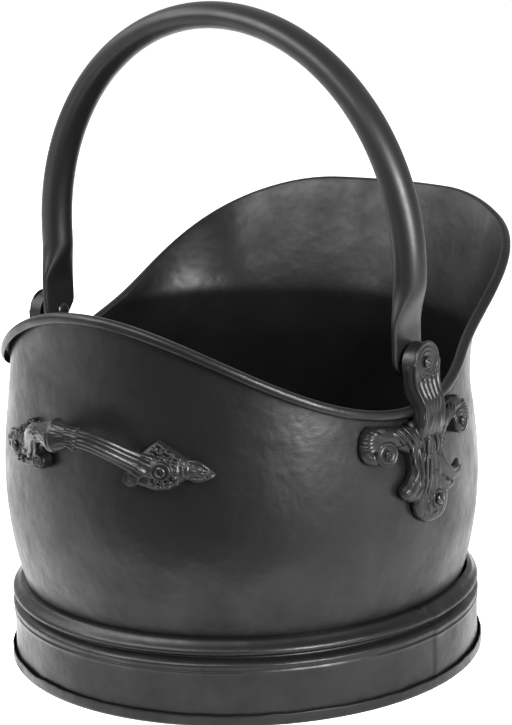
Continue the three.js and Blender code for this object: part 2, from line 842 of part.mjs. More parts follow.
// Seats and bores for the fasteners of one casting
function bored(casting, name) {
  let result = casting;
  for (const fixing of fixings.filter((each) => each.name.startsWith(name))) {
    const clear = fixing.seat + castingThickness + cutOverrun;
    const headRadius = (fixing.kind === 'screw' ? screwHeadRadius : rivetHeadRadius) + boreGap * 2;
    result = result.subtract(drill(fixing.place, screwRadius + boreGap, -cutOverrun * 2, clear, boreSides));
    result = result.subtract(drill(fixing.place, headRadius, fixing.seat, clear, boreSides));
  }
  return result;
}

for (const { name, sign } of sides) {
  addPiece(`bracket_${name}`, geometryOf(bored(bracket(sign), `bracket_${name}`)), castPaint);
}

// Tipping handle: leaf tip, collar, block, fluted neck and middle knuckle, mirrored left and right.
// Each row gives the place across, the height, the distance out, and the half height and depth.
function handleRows() {
  const blockOut = handleBlockDepth / 2;
  const half = [];
  for (const [alongShare, outShare, heightShare, depthShare] of handleTipShares) {
    half.push([
      mix(handleTipReach, handleMountReach, alongShare),
      handleMountHeight,
      blockOut * outShare,
      handleNeckHalfHeight * heightShare,
      handleNeckHalfDepth * depthShare,
    ]);
  }
  for (const [alongShare, outShare, heightShare, depthShare] of handleBlockShares) {
    half.push([
      mix(handleMountReach, handleLobeReach, alongShare),
      handleMountHeight,
      blockOut * outShare,
      handleBlockHalfHeight * heightShare,
      blockOut * depthShare,
    ]);
  }
  for (const [acrossShare, riseShare, outShare, heightShare, depthShare] of handleBowShares) {
    half.push([
      handleLobeReach * acrossShare,
      handleMountHeight + handleBowRise * riseShare,
      mix(blockOut, handleBowReach, outShare),
      handleNeckHalfHeight * heightShare,
      handleNeckHalfDepth * depthShare,
    ]);
  }
  const knuckle = [
    0, handleMountHeight + handleBowRise, handleBowReach, handleKnuckleHalfHeight, handleKnuckleHalfDepth,
  ];
  const mirrored = half.toReversed().map(([across, ...rest]) => [-across, ...rest]);
  return [...half, knuckle, ...mirrored];
}

function handlePoint([across, height, out]) {
  const turn = handleTurn(across);
  return polar(turn, wallRadius(turn, height) + out, height);
}

const handleSides = 10;

function tippingHandle() {
  const rows = handleRows();
  const middle = rows.map(handlePoint);
  const rings = rows.map(([, , , halfHeight, halfDepth], order) => {
    const before = middle[Math.max(order - 1, 0)];
    const after = middle[Math.min(order + 1, middle.length - 1)];
    const tangent = after.clone().sub(before).normalize();
    const upward = new THREE.Vector3(0, 0, 1).addScaledVector(tangent, -tangent.z).normalize();
    const outward = new THREE.Vector3().crossVectors(tangent, upward);
    return Array.from({ length: handleSides }, (_, side) => {
      const angle = 2 * Math.PI * side / handleSides;
      return middle[order].clone()
        .addScaledVector(upward, halfHeight * Math.sin(angle))
        .addScaledVector(outward, halfDepth * Math.cos(angle));
    });
  });
  let casting = solidOf(surfaceThrough(rings, false));
  for (const way of [-1, 1]) {
    const turn = handleTurn(way * handleLobeReach);
    const lobe = wallPlace(turn, handleMountHeight - handleLobeDrop);
    const lobeFace = handleBlockDepth * handleLobeShare;
    casting = casting.add(drill(lobe, handleLobeRadius, -castingRoot, lobeFace, boreSides));
  }
  return bored(casting.subtract(envelope), 'handle');
}

addPiece('tipping_handle', geometryOf(tippingHandle()), castPaint);

// Screws with washer and nut inside the wall, and rivets with a washer under the closed tail.
// A washer clears the leaning wall and the flats between the barrel's slices.
const flatDepth = bellyRadius * (1 - Math.cos(Math.PI / aroundSteps));

for (const { name, place, lean, seat, kind } of fixings) {
  const headFace = seat + fitGap;
  const washerOuter = -sheet - fitGap - flatDepth - washerRadius * Math.abs(Math.tan(lean));
  const washerInner = washerOuter - washerThickness;
  const washer = ringProfile(screwRadius + boreGap, washerRadius, washerInner, washerOuter);
  addPiece(name.replace(kind, 'washer'), turnedAt(place, washer, boreSides), fixingPaint);
  const tailFace = washerInner - fitGap;
  if (kind === 'rivet') {
    addPiece(name, turnedAt(place, [
      ...headProfile(rivetHeadShares, rivetHeadRadius, tailFace, -rivetHeadHeight).toReversed(),
      [screwRadius, tailFace],
      [screwRadius, headFace],
      ...headProfile(rivetHeadShares, rivetHeadRadius, headFace, rivetHeadHeight),
    ], boreSides), fixingPaint);
    continue;
  }
  const nutInner = tailFace - nutThickness;
  addPiece(name, turnedAt(place, [
    [0, nutInner - screwTail],
    [screwRadius, nutInner - screwTail],
    [screwRadius, headFace],
    ...headProfile(screwHeadShares, screwHeadRadius, headFace, screwHeadHeight),
  ], boreSides), fixingPaint);
  const nutCorner = nutHalfWidth / Math.cos(Math.PI / 6);
  const hexagon = drill(place, nutCorner, nutInner, tailFace, 6);
  const bore = drill(place, screwRadius + boreGap, nutInner - cutOverrun, tailFace + cutOverrun, boreSides);
  addPiece(name.replace(kind, 'nut'), geometryOf(hexagon.subtract(bore)), fixingPaint);
}

export default bucket;
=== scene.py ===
# %% [markdown]
# # A helmet coal bucket in satin black
# A helmet bucket holds coal by the hearth. Its barrel and its flared spout are one sheet of steel with
# a rolled rim. It stands in a moulded plinth, hangs from a bail of steel tube, and is tipped by a cast
# handle at the rear. The scene is built round a fixed frame that already has every size and place.

# %% Load the frame
import math

import bpy
from mathutils import Matrix, Vector, noise


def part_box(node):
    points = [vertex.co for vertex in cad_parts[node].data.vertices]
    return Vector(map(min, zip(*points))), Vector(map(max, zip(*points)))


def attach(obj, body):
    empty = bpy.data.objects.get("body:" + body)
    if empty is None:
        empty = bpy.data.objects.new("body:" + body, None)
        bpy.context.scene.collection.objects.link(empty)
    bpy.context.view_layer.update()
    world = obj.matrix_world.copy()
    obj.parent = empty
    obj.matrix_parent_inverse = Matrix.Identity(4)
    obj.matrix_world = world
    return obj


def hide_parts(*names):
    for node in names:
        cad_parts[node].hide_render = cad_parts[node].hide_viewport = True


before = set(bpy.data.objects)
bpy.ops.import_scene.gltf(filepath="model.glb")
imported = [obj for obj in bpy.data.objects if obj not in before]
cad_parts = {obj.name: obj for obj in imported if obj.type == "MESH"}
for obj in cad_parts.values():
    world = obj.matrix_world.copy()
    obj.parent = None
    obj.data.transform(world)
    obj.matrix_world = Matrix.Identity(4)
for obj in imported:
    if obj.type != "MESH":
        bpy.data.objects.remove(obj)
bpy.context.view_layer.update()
mm = 0.001

# %% [markdown]
# The camera comes first. A long lens a little above the rim gives the calm view of a catalogue photo.
# Its place is worked out from an angle round the bucket, an elevation and a distance, and the small
# roll is the photographer's. The sensor is fitted to the tall side of the picture.

# %% Camera
VIEW_TURN = math.radians(37.6)
VIEW_RISE = math.radians(13.58)
VIEW_ROLL = math.radians(-1.73)
VIEW_DISTANCE = 1650 * mm
AIM_HEIGHT = 200.8 * mm
AIM_SIDE = 12 * mm
PICTURE_HEIGHT = 725
FOCAL_PIXELS = 2397.9
SENSOR = 36
VIEW_END = 60


def linked(name, data):
    thing = bpy.data.objects.new(name, data)
    bpy.context.scene.collection.objects.link(thing)
    return thing


toward = Vector((
    -math.sin(VIEW_TURN) * math.cos(VIEW_RISE),
    math.cos(VIEW_TURN) * math.cos(VIEW_RISE),
    math.sin(VIEW_RISE),
))
right = (-toward).cross(Vector((0, 0, 1))).normalized()
up = right.cross(-toward)
aim = Vector((0, 0, AIM_HEIGHT)) + right * AIM_SIDE
right, up = (
    right * math.cos(VIEW_ROLL) + up * math.sin(VIEW_ROLL),
    up * math.cos(VIEW_ROLL) - right * math.sin(VIEW_ROLL),
)
camera_data = bpy.data.cameras.new("camera")
camera_data.sensor_fit = "VERTICAL"
camera_data.sensor_height = SENSOR
camera_data.lens = SENSOR * FOCAL_PIXELS / PICTURE_HEIGHT
camera_data.clip_end = VIEW_END
camera = linked("camera", camera_data)
camera.matrix_world = (
    Matrix.Translation(aim + toward * VIEW_DISTANCE)
    @ Matrix((right, up, toward)).transposed().to_4x4()
)
bpy.context.scene.camera = camera
bpy.context.scene.view_settings.view_transform = "Standard"
print("camera at", [round(value, 3) for value in camera.matrix_world.translation])

# %% [markdown]
# A few helpers carry the whole lesson. Everything is deselected before a primitive is added, because
# an operator acts on all that is selected. A wrapped grid is a grid primitive whose columns are led
# round a piece and whose rows are led along it: most sheet metal can be thought of that way.

# %% Modelling helpers
SHARP_FROM = math.radians(40)
MERGE_REACH = 0.002 * mm


def only(piece):
    bpy.ops.object.select_all(action="DESELECT")
    piece.select_set(True)
    bpy.context.view_layer.objects.active = piece


def apply_modifier(piece, kind, **settings):
    modifier = piece.modifiers.new(kind.lower(), kind)
    for key, value in settings.items():
        setattr(modifier, key, value)
    only(piece)
    bpy.ops.object.modifier_apply(modifier=modifier.name)


def added(operator, name, **settings):
    bpy.ops.object.select_all(action="DESELECT")
    operator(**settings)
    piece = bpy.context.object
    piece.name = name
    return piece


def edit(piece, *steps):
    only(piece)
    bpy.ops.object.mode_set(mode="EDIT")
    bpy.ops.mesh.select_all(action="SELECT")
    for step in steps:
        step()
    bpy.ops.object.mode_set(mode="OBJECT")


def merge():
    bpy.ops.mesh.remove_doubles(threshold=MERGE_REACH)


def face_outwards():
    bpy.ops.mesh.normals_make_consistent(inside=False)


def wrapped_grid(name, around, along, place):
    """A grid of columns and rows, each vertex put where place(column share, row share) says."""
    grid_add = bpy.ops.mesh.primitive_grid_add
    piece = added(grid_add, name, x_subdivisions=around, y_subdivisions=along, size=1)
    for vertex in piece.data.vertices:
        vertex.co = place(vertex.co.x + 0.5, vertex.co.y + 0.5)
    edit(piece, merge, face_outwards)
    return piece


def join(name, pieces):
    bpy.ops.object.select_all(action="DESELECT")
    for piece in pieces:
        piece.select_set(True)
    bpy.context.view_layer.objects.active = pieces[0]
    bpy.ops.object.join()
    pieces[0].name = name
    return pieces[0]


def triangles(piece):
    piece.data.calc_loop_triangles()
    return len(piece.data.loop_triangles)


def mix(low, high, share):
    return low + (high - low) * share


def ease(value, low, high):
    share = min(max((value - low) / (high - low), 0), 1)
    return share * share * (3 - 2 * share)


# %% [markdown]
# The shape of the barrel is a formula of height and of the turn round it, counted in degrees from the
# rear. The same formula seats the castings, so nothing has to be fitted by eye.

# %% Shape of the barrel, the rim and the spout
SHEET = 1 * mm
FIT_GAP = 0.3 * mm
PLINTH_RADIUS = 161.9 * mm
SEAT_RADIUS = PLINTH_RADIUS - 9 * mm
BELLY_RADIUS = SEAT_RADIUS + 10.6 * mm
NECK_RADIUS = SEAT_RADIUS + 2.1 * mm
PLINTH_TOP = 57.2 * mm
FOOT_HEIGHT = PLINTH_TOP - 11.2 * mm
SEAT_HEIGHT = PLINTH_TOP - 0.7 * mm
BELLY_HEIGHT = SEAT_HEIGHT + 71.5 * mm
NECK_HEIGHT = BELLY_HEIGHT + 108 * mm
SIDE_RIM = 197.5 * mm
REAR_RIM = SIDE_RIM + 68.5 * mm
LIP_RIM = SIDE_RIM + 102 * mm
DIP_ANGLE = 80
LIP_ANGLE = 166
BEAD_RADIUS = 3.4 * mm
BEAD_TURN = 250
FLARE = 40 * mm
FLARE_FROM = 107
FLARE_FULL = 147
FLARE_START = SIDE_RIM - 12.5 * mm
FLARE_CURVE = 1.5


def barrel_radius(height):
    if height < BELLY_HEIGHT:
        below = (BELLY_HEIGHT - height) / (BELLY_HEIGHT - SEAT_HEIGHT)
        return BELLY_RADIUS - (BELLY_RADIUS - SEAT_RADIUS) * below ** 2
    above = min((height - BELLY_HEIGHT) / (NECK_HEIGHT - BELLY_HEIGHT), 1)
    return mix(NECK_RADIUS, BELLY_RADIUS, (1 + math.cos(math.pi * above)) / 2)


def rim_height(turn):
    away = abs(turn)
    if away < DIP_ANGLE:
        return mix(SIDE_RIM, REAR_RIM, (1 + math.cos(math.pi * away / DIP_ANGLE)) / 2)
    share = min((away - DIP_ANGLE) / (LIP_ANGLE - DIP_ANGLE), 1)
    return mix(SIDE_RIM, LIP_RIM, math.sin(math.pi * share / 2) ** 2)


def wall_radius(turn, height):
    reach = FLARE * ease(abs(turn), FLARE_FROM, FLARE_FULL)
    share = max((height - FLARE_START) / (rim_height(turn) - FLARE_START), 0)
    return barrel_radius(height) + reach * share ** FLARE_CURVE


print("belly", round(wall_radius(0, BELLY_HEIGHT) / mm, 1), "mm in radius, rear rim at", REAR_RIM)

# %% [markdown]
# From the formula come places: a point on the wall, so far outwards, and a point on the round of the
# rolled rim, which starts where the wall ends and leans as the wall does there.

# %% Points on the wall and the rim
def wall_lean(turn, height):
    return math.atan2(wall_radius(turn, height) - wall_radius(turn, height - SHEET), SHEET)


def polar(turn, radius, height):
    angle = math.radians(turn)
    return Vector((-radius * math.sin(angle), radius * math.cos(angle), height))


def wall_point(turn, height, outward):
    lean = wall_lean(turn, height)
    radius = wall_radius(turn, height) - SHEET / 2 + outward * math.cos(lean)
    return polar(turn, radius, height - outward * math.sin(lean))


def rim_centre(turn):
    height = rim_height(turn) - BEAD_RADIUS - SHEET / 2
    lean = wall_lean(turn, height)
    wall_end = height + BEAD_RADIUS * math.sin(lean)
    radius = wall_radius(turn, wall_end) - SHEET / 2 + BEAD_RADIUS * math.cos(lean)
    return height, lean, wall_end, radius


def squared(value, power):
    return math.copysign(abs(value) ** power, value)


def rim_point(turn, angle, bead, power=1.0):
    height, lean, _, radius = rim_centre(turn)
    outward = bead * squared(math.cos(math.radians(angle)), power)
    along = bead * squared(math.sin(math.radians(angle)), power)
    return polar(
        turn,
        radius + outward * math.cos(lean) + along * math.sin(lean),
        height - outward * math.sin(lean) + along * math.cos(lean),
    )


# %% [markdown]
# Paint comes before the pieces. It is all black, but no two surfaces take it alike. One node group
# makes the cloudy, slightly beaten look of sprayed steel, and every finish uses it with its own
# values: it puts out a tint for the colour, a roughness and a height for the bump.

# %% Paint group
FINE_TIMES = 6.5
FINE_CLOUD_SHARE = 0.35
FINE_DENT_SHARE = 0.12
CLOUD_GLOSS = 0.45
SPECK_SCALE = 2600.0


def set_inputs(tree, node, values):
    """Gives each named input its number or colour, or the output that feeds it."""
    for key, value in values.items():
        socket = node.inputs[key]
        if isinstance(value, bpy.types.NodeSocket):
            tree.links.new(value, socket)
        else:
            socket.default_value = value


def math_node(tree, operation, *values):
    node = tree.nodes.new("ShaderNodeMath")
    node.operation = operation
    set_inputs(tree, node, dict(enumerate(values)))
    return node.outputs[0]


def noise_node(tree, vector, scale, detail, roughness):
    node = tree.nodes.new("ShaderNodeTexNoise")
    values = {"Vector": vector, "Scale": scale, "Detail": detail, "Roughness": roughness}
    set_inputs(tree, node, values)
    return node.outputs["Fac"]


def new_sockets(group, direction, kind, names):
    for name in names:
        group.interface.new_socket(name=name, in_out=direction, socket_type=kind)


def paint_group():
    group = bpy.data.node_groups.new("cloudy_paint", "ShaderNodeTree")
    paint_inputs = ("Cloud Scale", "Cloud", "Dent", "Grain", "Roughness")
    new_sockets(group, "INPUT", "NodeSocketVector", ("Vector",))
    new_sockets(group, "INPUT", "NodeSocketFloat", paint_inputs)
    new_sockets(group, "OUTPUT", "NodeSocketFloat", ("Tint", "Roughness", "Height"))
    source = group.nodes.new("NodeGroupInput")
    target = group.nodes.new("NodeGroupOutput")
    vector, scale, cloud, dent, grain, rough = source.outputs[:len(paint_inputs) + 1]
    broad = noise_node(group, vector, scale, detail=3.0, roughness=0.55)
    fine_scale = math_node(group, "MULTIPLY", scale, FINE_TIMES)
    fine = noise_node(group, vector, fine_scale, detail=4.0, roughness=0.6)
    speck = noise_node(group, vector, SPECK_SCALE, detail=2.0, roughness=0.5)
    centred = math_node(group, "SUBTRACT", broad, 0.5)
    fine_centred = math_node(group, "SUBTRACT", fine, 0.5)
    clouds = math_node(group, "MULTIPLY_ADD", fine_centred, FINE_CLOUD_SHARE, centred)
    shaded = math_node(group, "MULTIPLY", clouds, cloud)
    dents = math_node(group, "MULTIPLY", broad, dent)
    grains = math_node(group, "MULTIPLY", speck, grain)
    finer = math_node(group, "MULTIPLY_ADD", fine, FINE_DENT_SHARE, dents)
    set_inputs(group, target, {
        "Tint": math_node(group, "ADD", shaded, 1.0),
        "Roughness": math_node(group, "MULTIPLY_ADD", shaded, -CLOUD_GLOSS, rough),
        "Height": math_node(group, "ADD", finer, grains),
    })
    return group


cloudy_paint = paint_group()
print("node group:", cloudy_paint.name)

# %% [markdown]
# Each finish is a Principled shader of its own. The colour is nearly black, so what the eye reads is
# the sheen: soft on the sprayed sheet and the tube, tighter on the castings and the fixings.

# %% Finishes
BLOTCH_POWER = 1.2
DUST_ROUGHNESS = 0.24
DUST_SHEEN_LOSS = 0.93
paints = {}


def new_material(name):
    material = bpy.data.materials.new(name)
    material.use_nodes = True
    return material, material.node_tree, material.node_tree.nodes["Principled BSDF"]


def finish(slot, color, specular, bump, paint_values):
    material, tree, shader = new_material(slot)
    place = tree.nodes.new("ShaderNodeTexCoord")
    paint = tree.nodes.new("ShaderNodeGroup")
    paint.node_tree = cloudy_paint
    set_inputs(tree, paint, {"Vector": place.outputs["Object"], **paint_values})
    tint = paint.outputs["Tint"]
    tone = tree.nodes.new("ShaderNodeMix")
    tone.data_type = "RGBA"
    tone.blend_type = "MULTIPLY"
    set_inputs(tree, tone, {"Factor": 1.0, "A": (*color, 1), "B": tint})
    relief = tree.nodes.new("ShaderNodeBump")
    height = paint.outputs["Height"]
    set_inputs(tree, relief, {"Strength": 1.0, "Distance": bump, "Height": height})
    blotches = math_node(tree, "POWER", tint, BLOTCH_POWER)
    set_inputs(tree, shader, {
        "Base Color": tone.outputs["Result"], "Roughness": paint.outputs["Roughness"],
        "Normal": relief.outputs["Normal"],
        "Specular IOR Level": math_node(tree, "MULTIPLY", blotches, specular),
    })
    paints[slot] = material


def dust(material):
    """Coal dust dulls the sheet as far as the piece's own attribute says."""
    tree = material.node_tree
    shader = tree.nodes["Principled BSDF"]
    coal = tree.nodes.new("ShaderNodeAttribute")
    coal.attribute_name = "coal_dust"
    rough = shader.inputs["Roughness"].links[0].from_socket
    sheen = shader.inputs["Specular IOR Level"].links[0].from_socket
    kept = math_node(tree, "MULTIPLY_ADD", coal.outputs["Fac"], -DUST_SHEEN_LOSS, 1.0)
    set_inputs(tree, shader, {
        "Roughness": math_node(tree, "MULTIPLY_ADD", coal.outputs["Fac"], DUST_ROUGHNESS, rough),
        "Specular IOR Level": math_node(tree, "MULTIPLY", sheen, kept),
    })


finish(
    "sheet_paint", (0.0022, 0.0022, 0.0023), specular=0.15, bump=1.3 * mm, paint_values={
        "Roughness": 0.35, "Cloud": 0.8, "Cloud Scale": 26.0, "Dent": 1.0, "Grain": 0.02,
    },
)
dust(paints["sheet_paint"])
finish(
    "tube_paint", (0.003, 0.003, 0.0031), specular=0.18, bump=0.4 * mm, paint_values={
        "Roughness": 0.38, "Cloud": 0.5, "Cloud Scale": 30.0, "Dent": 0.5, "Grain": 0.02,
    },
)
finish(
    "cast_paint", (0.004, 0.004, 0.0042), specular=0.14, bump=0.4 * mm, paint_values={
        "Roughness": 0.33, "Cloud": 0.5, "Cloud Scale": 70.0, "Dent": 0.8, "Grain": 0.06,
    },
)
finish(
    "fixing_paint", (0.004, 0.004, 0.0042), specular=0.24, bump=0.1 * mm, paint_values={
        "Roughness": 0.26, "Cloud": 0.3, "Cloud Scale": 90.0, "Dent": 0.3, "Grain": 0.04,
    },
)
print("finishes:", list(paints))

# %% [markdown]
# A finished piece is dressed: its curved faces are shaded smooth and its edges stay crisp, it gets its
# paint, it is tied to its body, and the CAD nodes that it stands for are hidden.

# %% Dressing
def dress(piece, slot, body, *nodes, sharp_from=SHARP_FROM):
    only(piece)
    bpy.ops.object.shade_smooth_by_angle(angle=sharp_from)
    piece.data.materials.clear()
    piece.data.materials.append(paints[slot])
    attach(piece, body)
    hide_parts(*nodes)
    print(piece.name, "has", triangles(piece), "triangles")


# %% [markdown]
# The bucket stands on a plain pale floor in a white room, as in a catalogue. Black satin paint shows
# little but what it mirrors, so the light is planned as reflections: a bright soft box to the right,
# a weaker one to the left, two wide ones above that light the spout's inside, white all round, and
# black cloth behind the camera and on the floor before it, which keeps the middle of the barrel deep.
# Camera and mirrored rays see the room as white.

# %% Floor and room
ROOM_LIGHT = 0.3
FLOOR_SIZE = 30
FLOOR_COLOR = (0.84, 0.84, 0.84, 1)
FLOOR_GLOW = 0.74


def white_when_seen(tree):
    """1 for camera, mirrored and refracted rays, and 0 for light that falls on things."""
    path = tree.nodes.new("ShaderNodeLightPath")
    camera_ray, glossy_ray, clear_ray = [
        path.outputs[f"Is {kind} Ray"] for kind in ("Camera", "Glossy", "Transmission")
    ]
    seen = math_node(tree, "MAXIMUM", camera_ray, glossy_ray)
    return math_node(tree, "MAXIMUM", seen, clear_ray)


world = bpy.data.worlds.new("white_room")
bpy.context.scene.world = world
world.use_nodes = True
room = world.node_tree
strength = math_node(room, "MULTIPLY_ADD", white_when_seen(room), 1 - ROOM_LIGHT, ROOM_LIGHT)
set_inputs(room, room.nodes["Background"], {"Color": (1, 1, 1, 1), "Strength": strength})

floor = added(bpy.ops.mesh.primitive_plane_add, "floor", size=FLOOR_SIZE)
floor_paint, tree, paper = new_material("floor_paper")
set_inputs(tree, paper, {
    "Base Color": FLOOR_COLOR, "Roughness": 0.9, "Specular IOR Level": 0.0,
    "Emission Color": (1, 1, 1, 1),
    "Emission Strength": math_node(tree, "MULTIPLY", white_when_seen(tree), FLOOR_GLOW),
})
floor.data.materials.append(floor_paint)
print("floor:", FLOOR_SIZE, "m wide, room light", ROOM_LIGHT)

# %% [markdown]
# Each lamp is placed by the turn round the bucket from the rear, its height and its distance, and is
# aimed at the middle of the barrel. The two black cloths are seen only in reflections.

# %% Lamps and black cloth
BARREL_MIDDLE = Vector((0, 0, 150 * mm))
CLOTH_TURN = 26
RUNNER_AWAY = 1.4
RUNNER_LIFT = 3 * mm
CLOTH_COLOR = (0.05, 0.05, 0.05, 1)


def face_barrel(thing, turn, height, distance):
    angle = math.radians(turn)
    place = Vector((-distance * math.sin(angle), distance * math.cos(angle), height))
    facing = (place - BARREL_MIDDLE).to_track_quat("Z", "Y").to_matrix().to_4x4()
    thing.matrix_world = Matrix.Translation(place) @ facing


def soft_box(name, turn, height, distance, width, tall, watts):
    lamp = bpy.data.lights.new(name, "AREA")
    lamp.shape = "RECTANGLE"
    lamp.size = width
    lamp.size_y = tall
    lamp.energy = watts
    face_barrel(linked(name, lamp), turn, height, distance)


soft_box("right_box", turn=70, height=0.66, distance=1.5, width=0.5, tall=0.66, watts=98)
soft_box("left_box", turn=-38, height=1.2, distance=1.7, width=0.6, tall=1.0, watts=30)
soft_box("sky_box", turn=-66, height=1.4, distance=1.4, width=1.5, tall=0.9, watts=27)
soft_box("rear_box", turn=-6, height=2.1, distance=1.7, width=1.7, tall=1.0, watts=105)

cloth, tree, weave = new_material("black_cloth")
set_inputs(tree, weave, {"Base Color": CLOTH_COLOR, "Roughness": 1.0})


def black_cloth(name, width, tall, place):
    sheet = added(bpy.ops.mesh.primitive_plane_add, name, size=1)
    sheet.data.transform(Matrix.Diagonal((width, tall, 1, 1)))
    sheet.matrix_world = place
    sheet.data.materials.append(cloth)
    sheet.visible_camera = sheet.visible_shadow = sheet.visible_diffuse = False
    return sheet


curtain = black_cloth("curtain", width=2.8, tall=1.2, place=Matrix())
face_barrel(curtain, turn=CLOTH_TURN, height=0.6, distance=2.5)
runner_turn = Matrix.Rotation(math.radians(CLOTH_TURN), 4, "Z")
runner_place = runner_turn @ Matrix.Translation((0, RUNNER_AWAY, RUNNER_LIFT))
black_cloth("runner", width=1.9, tall=2.1, place=runner_place)

# %% [markdown]
# Barrel and spout: one sheet, cut high at the rear and higher at the lip, flared over the spout, its
# edge rolled outwards. A grid led round the formula gives the sheet's middle surface, and Solidify
# gives it its thickness. Hand-made sheet is never dead even, so a slow noise moves it by less than
# half a millimetre: too little to see as shape, enough to make the long highlights waver.

# %% Barrel and spout
AROUND = 288
SHELL_ROWS = 75
WALL_SHARE = 0.72
BEAD_POWER = 0.85
WAVE = 0.45 * mm
WAVE_SCALE = 15.0
CALM_BAND = 20 * mm
BEAD_SLIM = 0.3 * mm
DUST_FULL = 216 * mm
DUST_NONE = 227 * mm
DUST_ON_SPOUT = 0.05


def sheet_wave(point):
    return WAVE * noise.noise(point * WAVE_SCALE)


def shell_place(column, row):
    turn = 360 * column - 180
    _, _, wall_end, _ = rim_centre(turn)
    if row <= WALL_SHARE:
        height = mix(FOOT_HEIGHT, wall_end, row / WALL_SHARE)
        calm = ease(height, PLINTH_TOP, PLINTH_TOP + 2 * CALM_BAND)
        calm *= 1 - ease(height, wall_end - CALM_BAND, wall_end)
        return wall_point(turn, height, sheet_wave(wall_point(turn, height, 0)) * calm)
    share = (row - WALL_SHARE) / (1 - WALL_SHARE)
    return rim_point(turn, 180 - BEAD_TURN * share, BEAD_RADIUS - BEAD_SLIM, BEAD_POWER)


shell = wrapped_grid("barrel_and_spout", AROUND, SHELL_ROWS, shell_place)
apply_modifier(shell, "SOLIDIFY", thickness=SHEET, offset=0, use_even_offset=True)
print("barrel has", triangles(shell), "triangles before its holes")

# %% [markdown]
# Fasteners pass through the wall, so their places come next: three on each side bracket and two on
# the tipping handle. A place is a frame on the wall whose Z axis points straight out.

# %% Places of the fasteners
PIVOT_SETBACK = 15.5 * mm
PIVOT_HEIGHT = SIDE_RIM + 27.5 * mm
SCREW_RADIUS = 2 * mm
CASTING_THICKNESS = 8 * mm
SCROLL_THICKNESS = 9 * mm
HANDLE_SEAT = 11.5 * mm
SCROLL_HEIGHT = SIDE_RIM - 25.5 * mm
SCROLL_REACH = 37 * mm
FRONT_RISE = 6.5 * mm
FOOT_SCREW_HEIGHT = SCROLL_HEIGHT - 38 * mm
FOOT_SCREW_ALONG = -5 * mm
HANDLE_HEIGHT = 172 * mm
HANDLE_REACH = 58 * mm
LEFT, RIGHT = 1, -1
SIDE_NAMES = {LEFT: "left", RIGHT: "right"}


def bracket_turn(side, along):
    reach = math.asin(PIVOT_SETBACK / NECK_RADIUS) + along / BELLY_RADIUS
    return side * -(90 - math.degrees(reach))


def handle_turn(across):
    return -math.degrees(math.asin(across / BELLY_RADIUS))


def wall_place(turn, height):
    out = polar(turn, 1, 0)
    upward = Vector((0, 0, 1))
    axes = Matrix((upward.cross(out), upward, out)).transposed().to_4x4()
    return Matrix.Translation(polar(turn, wall_radius(turn, height), height)) @ axes


fixings = []
for side, side_name in SIDE_NAMES.items():
    bracket_name = f"bracket_{side_name}"
    turn = bracket_turn(side, FOOT_SCREW_ALONG)
    fixings.append((f"{bracket_name}_foot_screw", turn, FOOT_SCREW_HEIGHT, CASTING_THICKNESS))
    for end, way, rise in (("front", -1, FRONT_RISE), ("rear", 1, 0)):
        turn = bracket_turn(side, way * SCROLL_REACH)
        fixings.append((f"{bracket_name}_{end}_rivet", turn, SCROLL_HEIGHT + rise, SCROLL_THICKNESS))
    turn = handle_turn(side * HANDLE_REACH)
    fixings.append((f"handle_{side_name}_screw", turn, HANDLE_HEIGHT, HANDLE_SEAT))
print("fixings:", [name for name, *_ in fixings])

# %% [markdown]
# Holes are cut with a boolean. The cutter is a plain cylinder made at its place and deleted after
# use, which is how a drill behaves. Then the finished barrel gets its coal dust: an attribute that is
# 1 deep inside, small on the spout's inside and 0 outside.

# %% Drilling
DRILL_SIDES = 32
OVERRUN = 4 * mm


def cylinder(name, radius, low, high, place, sides=DRILL_SIDES):
    cylinder_add = bpy.ops.mesh.primitive_cylinder_add
    piece = added(cylinder_add, name, vertices=sides, radius=radius, depth=high - low)
    piece.data.transform(place @ Matrix.Translation((0, 0, (low + high) / 2)))
    return piece


def cut(piece, cutter):
    apply_modifier(piece, "BOOLEAN", operation="DIFFERENCE", object=cutter, solver="MANIFOLD")
    bpy.data.objects.remove(cutter)


def drill(piece, radius, low, high, place):
    cut(piece, cylinder("drill", radius, low, high, place))


for name, turn, height, seat in fixings:
    drill(shell, SCREW_RADIUS + FIT_GAP, -OVERRUN, OVERRUN, wall_place(turn, height))
coal_dust = shell.data.attributes.new("coal_dust", "FLOAT", "POINT")
for vertex in shell.data.vertices:
    turn = math.degrees(math.atan2(-vertex.co.x, vertex.co.y))
    within = math.hypot(vertex.co.x, vertex.co.y) < wall_radius(turn, vertex.co.z) - SHEET / 4
    inside = within and vertex.normal.dot(polar(turn, 1, 0)) < 0
    depth = 1 - ease(vertex.co.z, DUST_FULL, DUST_NONE)
    coal_dust.data[vertex.index].value = mix(DUST_ON_SPOUT, 1, depth) if inside else 0
dress(shell, "sheet_paint", "bucket", "body_shell")

# %% [markdown]
# The floor pan is a plain disc wedged in the taper of the foot. A ring pressed into it keeps the thin
# steel from drumming.

# %% Floor pan
pan_low, pan_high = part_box("floor_pan")
PAN_RING = 0.78
PAN_RING_WIDTH = 0.03
PAN_RING_RISE = 0.5 * mm
PAN_EDGE = min(pan_high[0], pan_high[1]) - FIT_GAP
PAN_AROUND = 144
PAN_ROWS = 50


def pan_place(column, row):
    ring = math.exp(-((row - PAN_RING) / PAN_RING_WIDTH) ** 2) * PAN_RING_RISE
    return polar(360 * column, PAN_EDGE * row, pan_low[2] + ring)


pan = wrapped_grid("pan", PAN_AROUND, PAN_ROWS, pan_place)
apply_modifier(pan, "SOLIDIFY", thickness=pan_high[2] - pan_low[2] - PAN_RING_RISE, offset=-1)
heights = [vertex.co.z for vertex in pan.data.vertices]
pan.data.transform(Matrix.Translation((0, 0, pan_low[2] - min(heights))))
dress(pan, "sheet_paint", "bucket", "floor_pan")

# %% [markdown]
# The outline of the plinth and of the base is a few corners. Cutting each corner twice over rounds it
# like bent sheet.

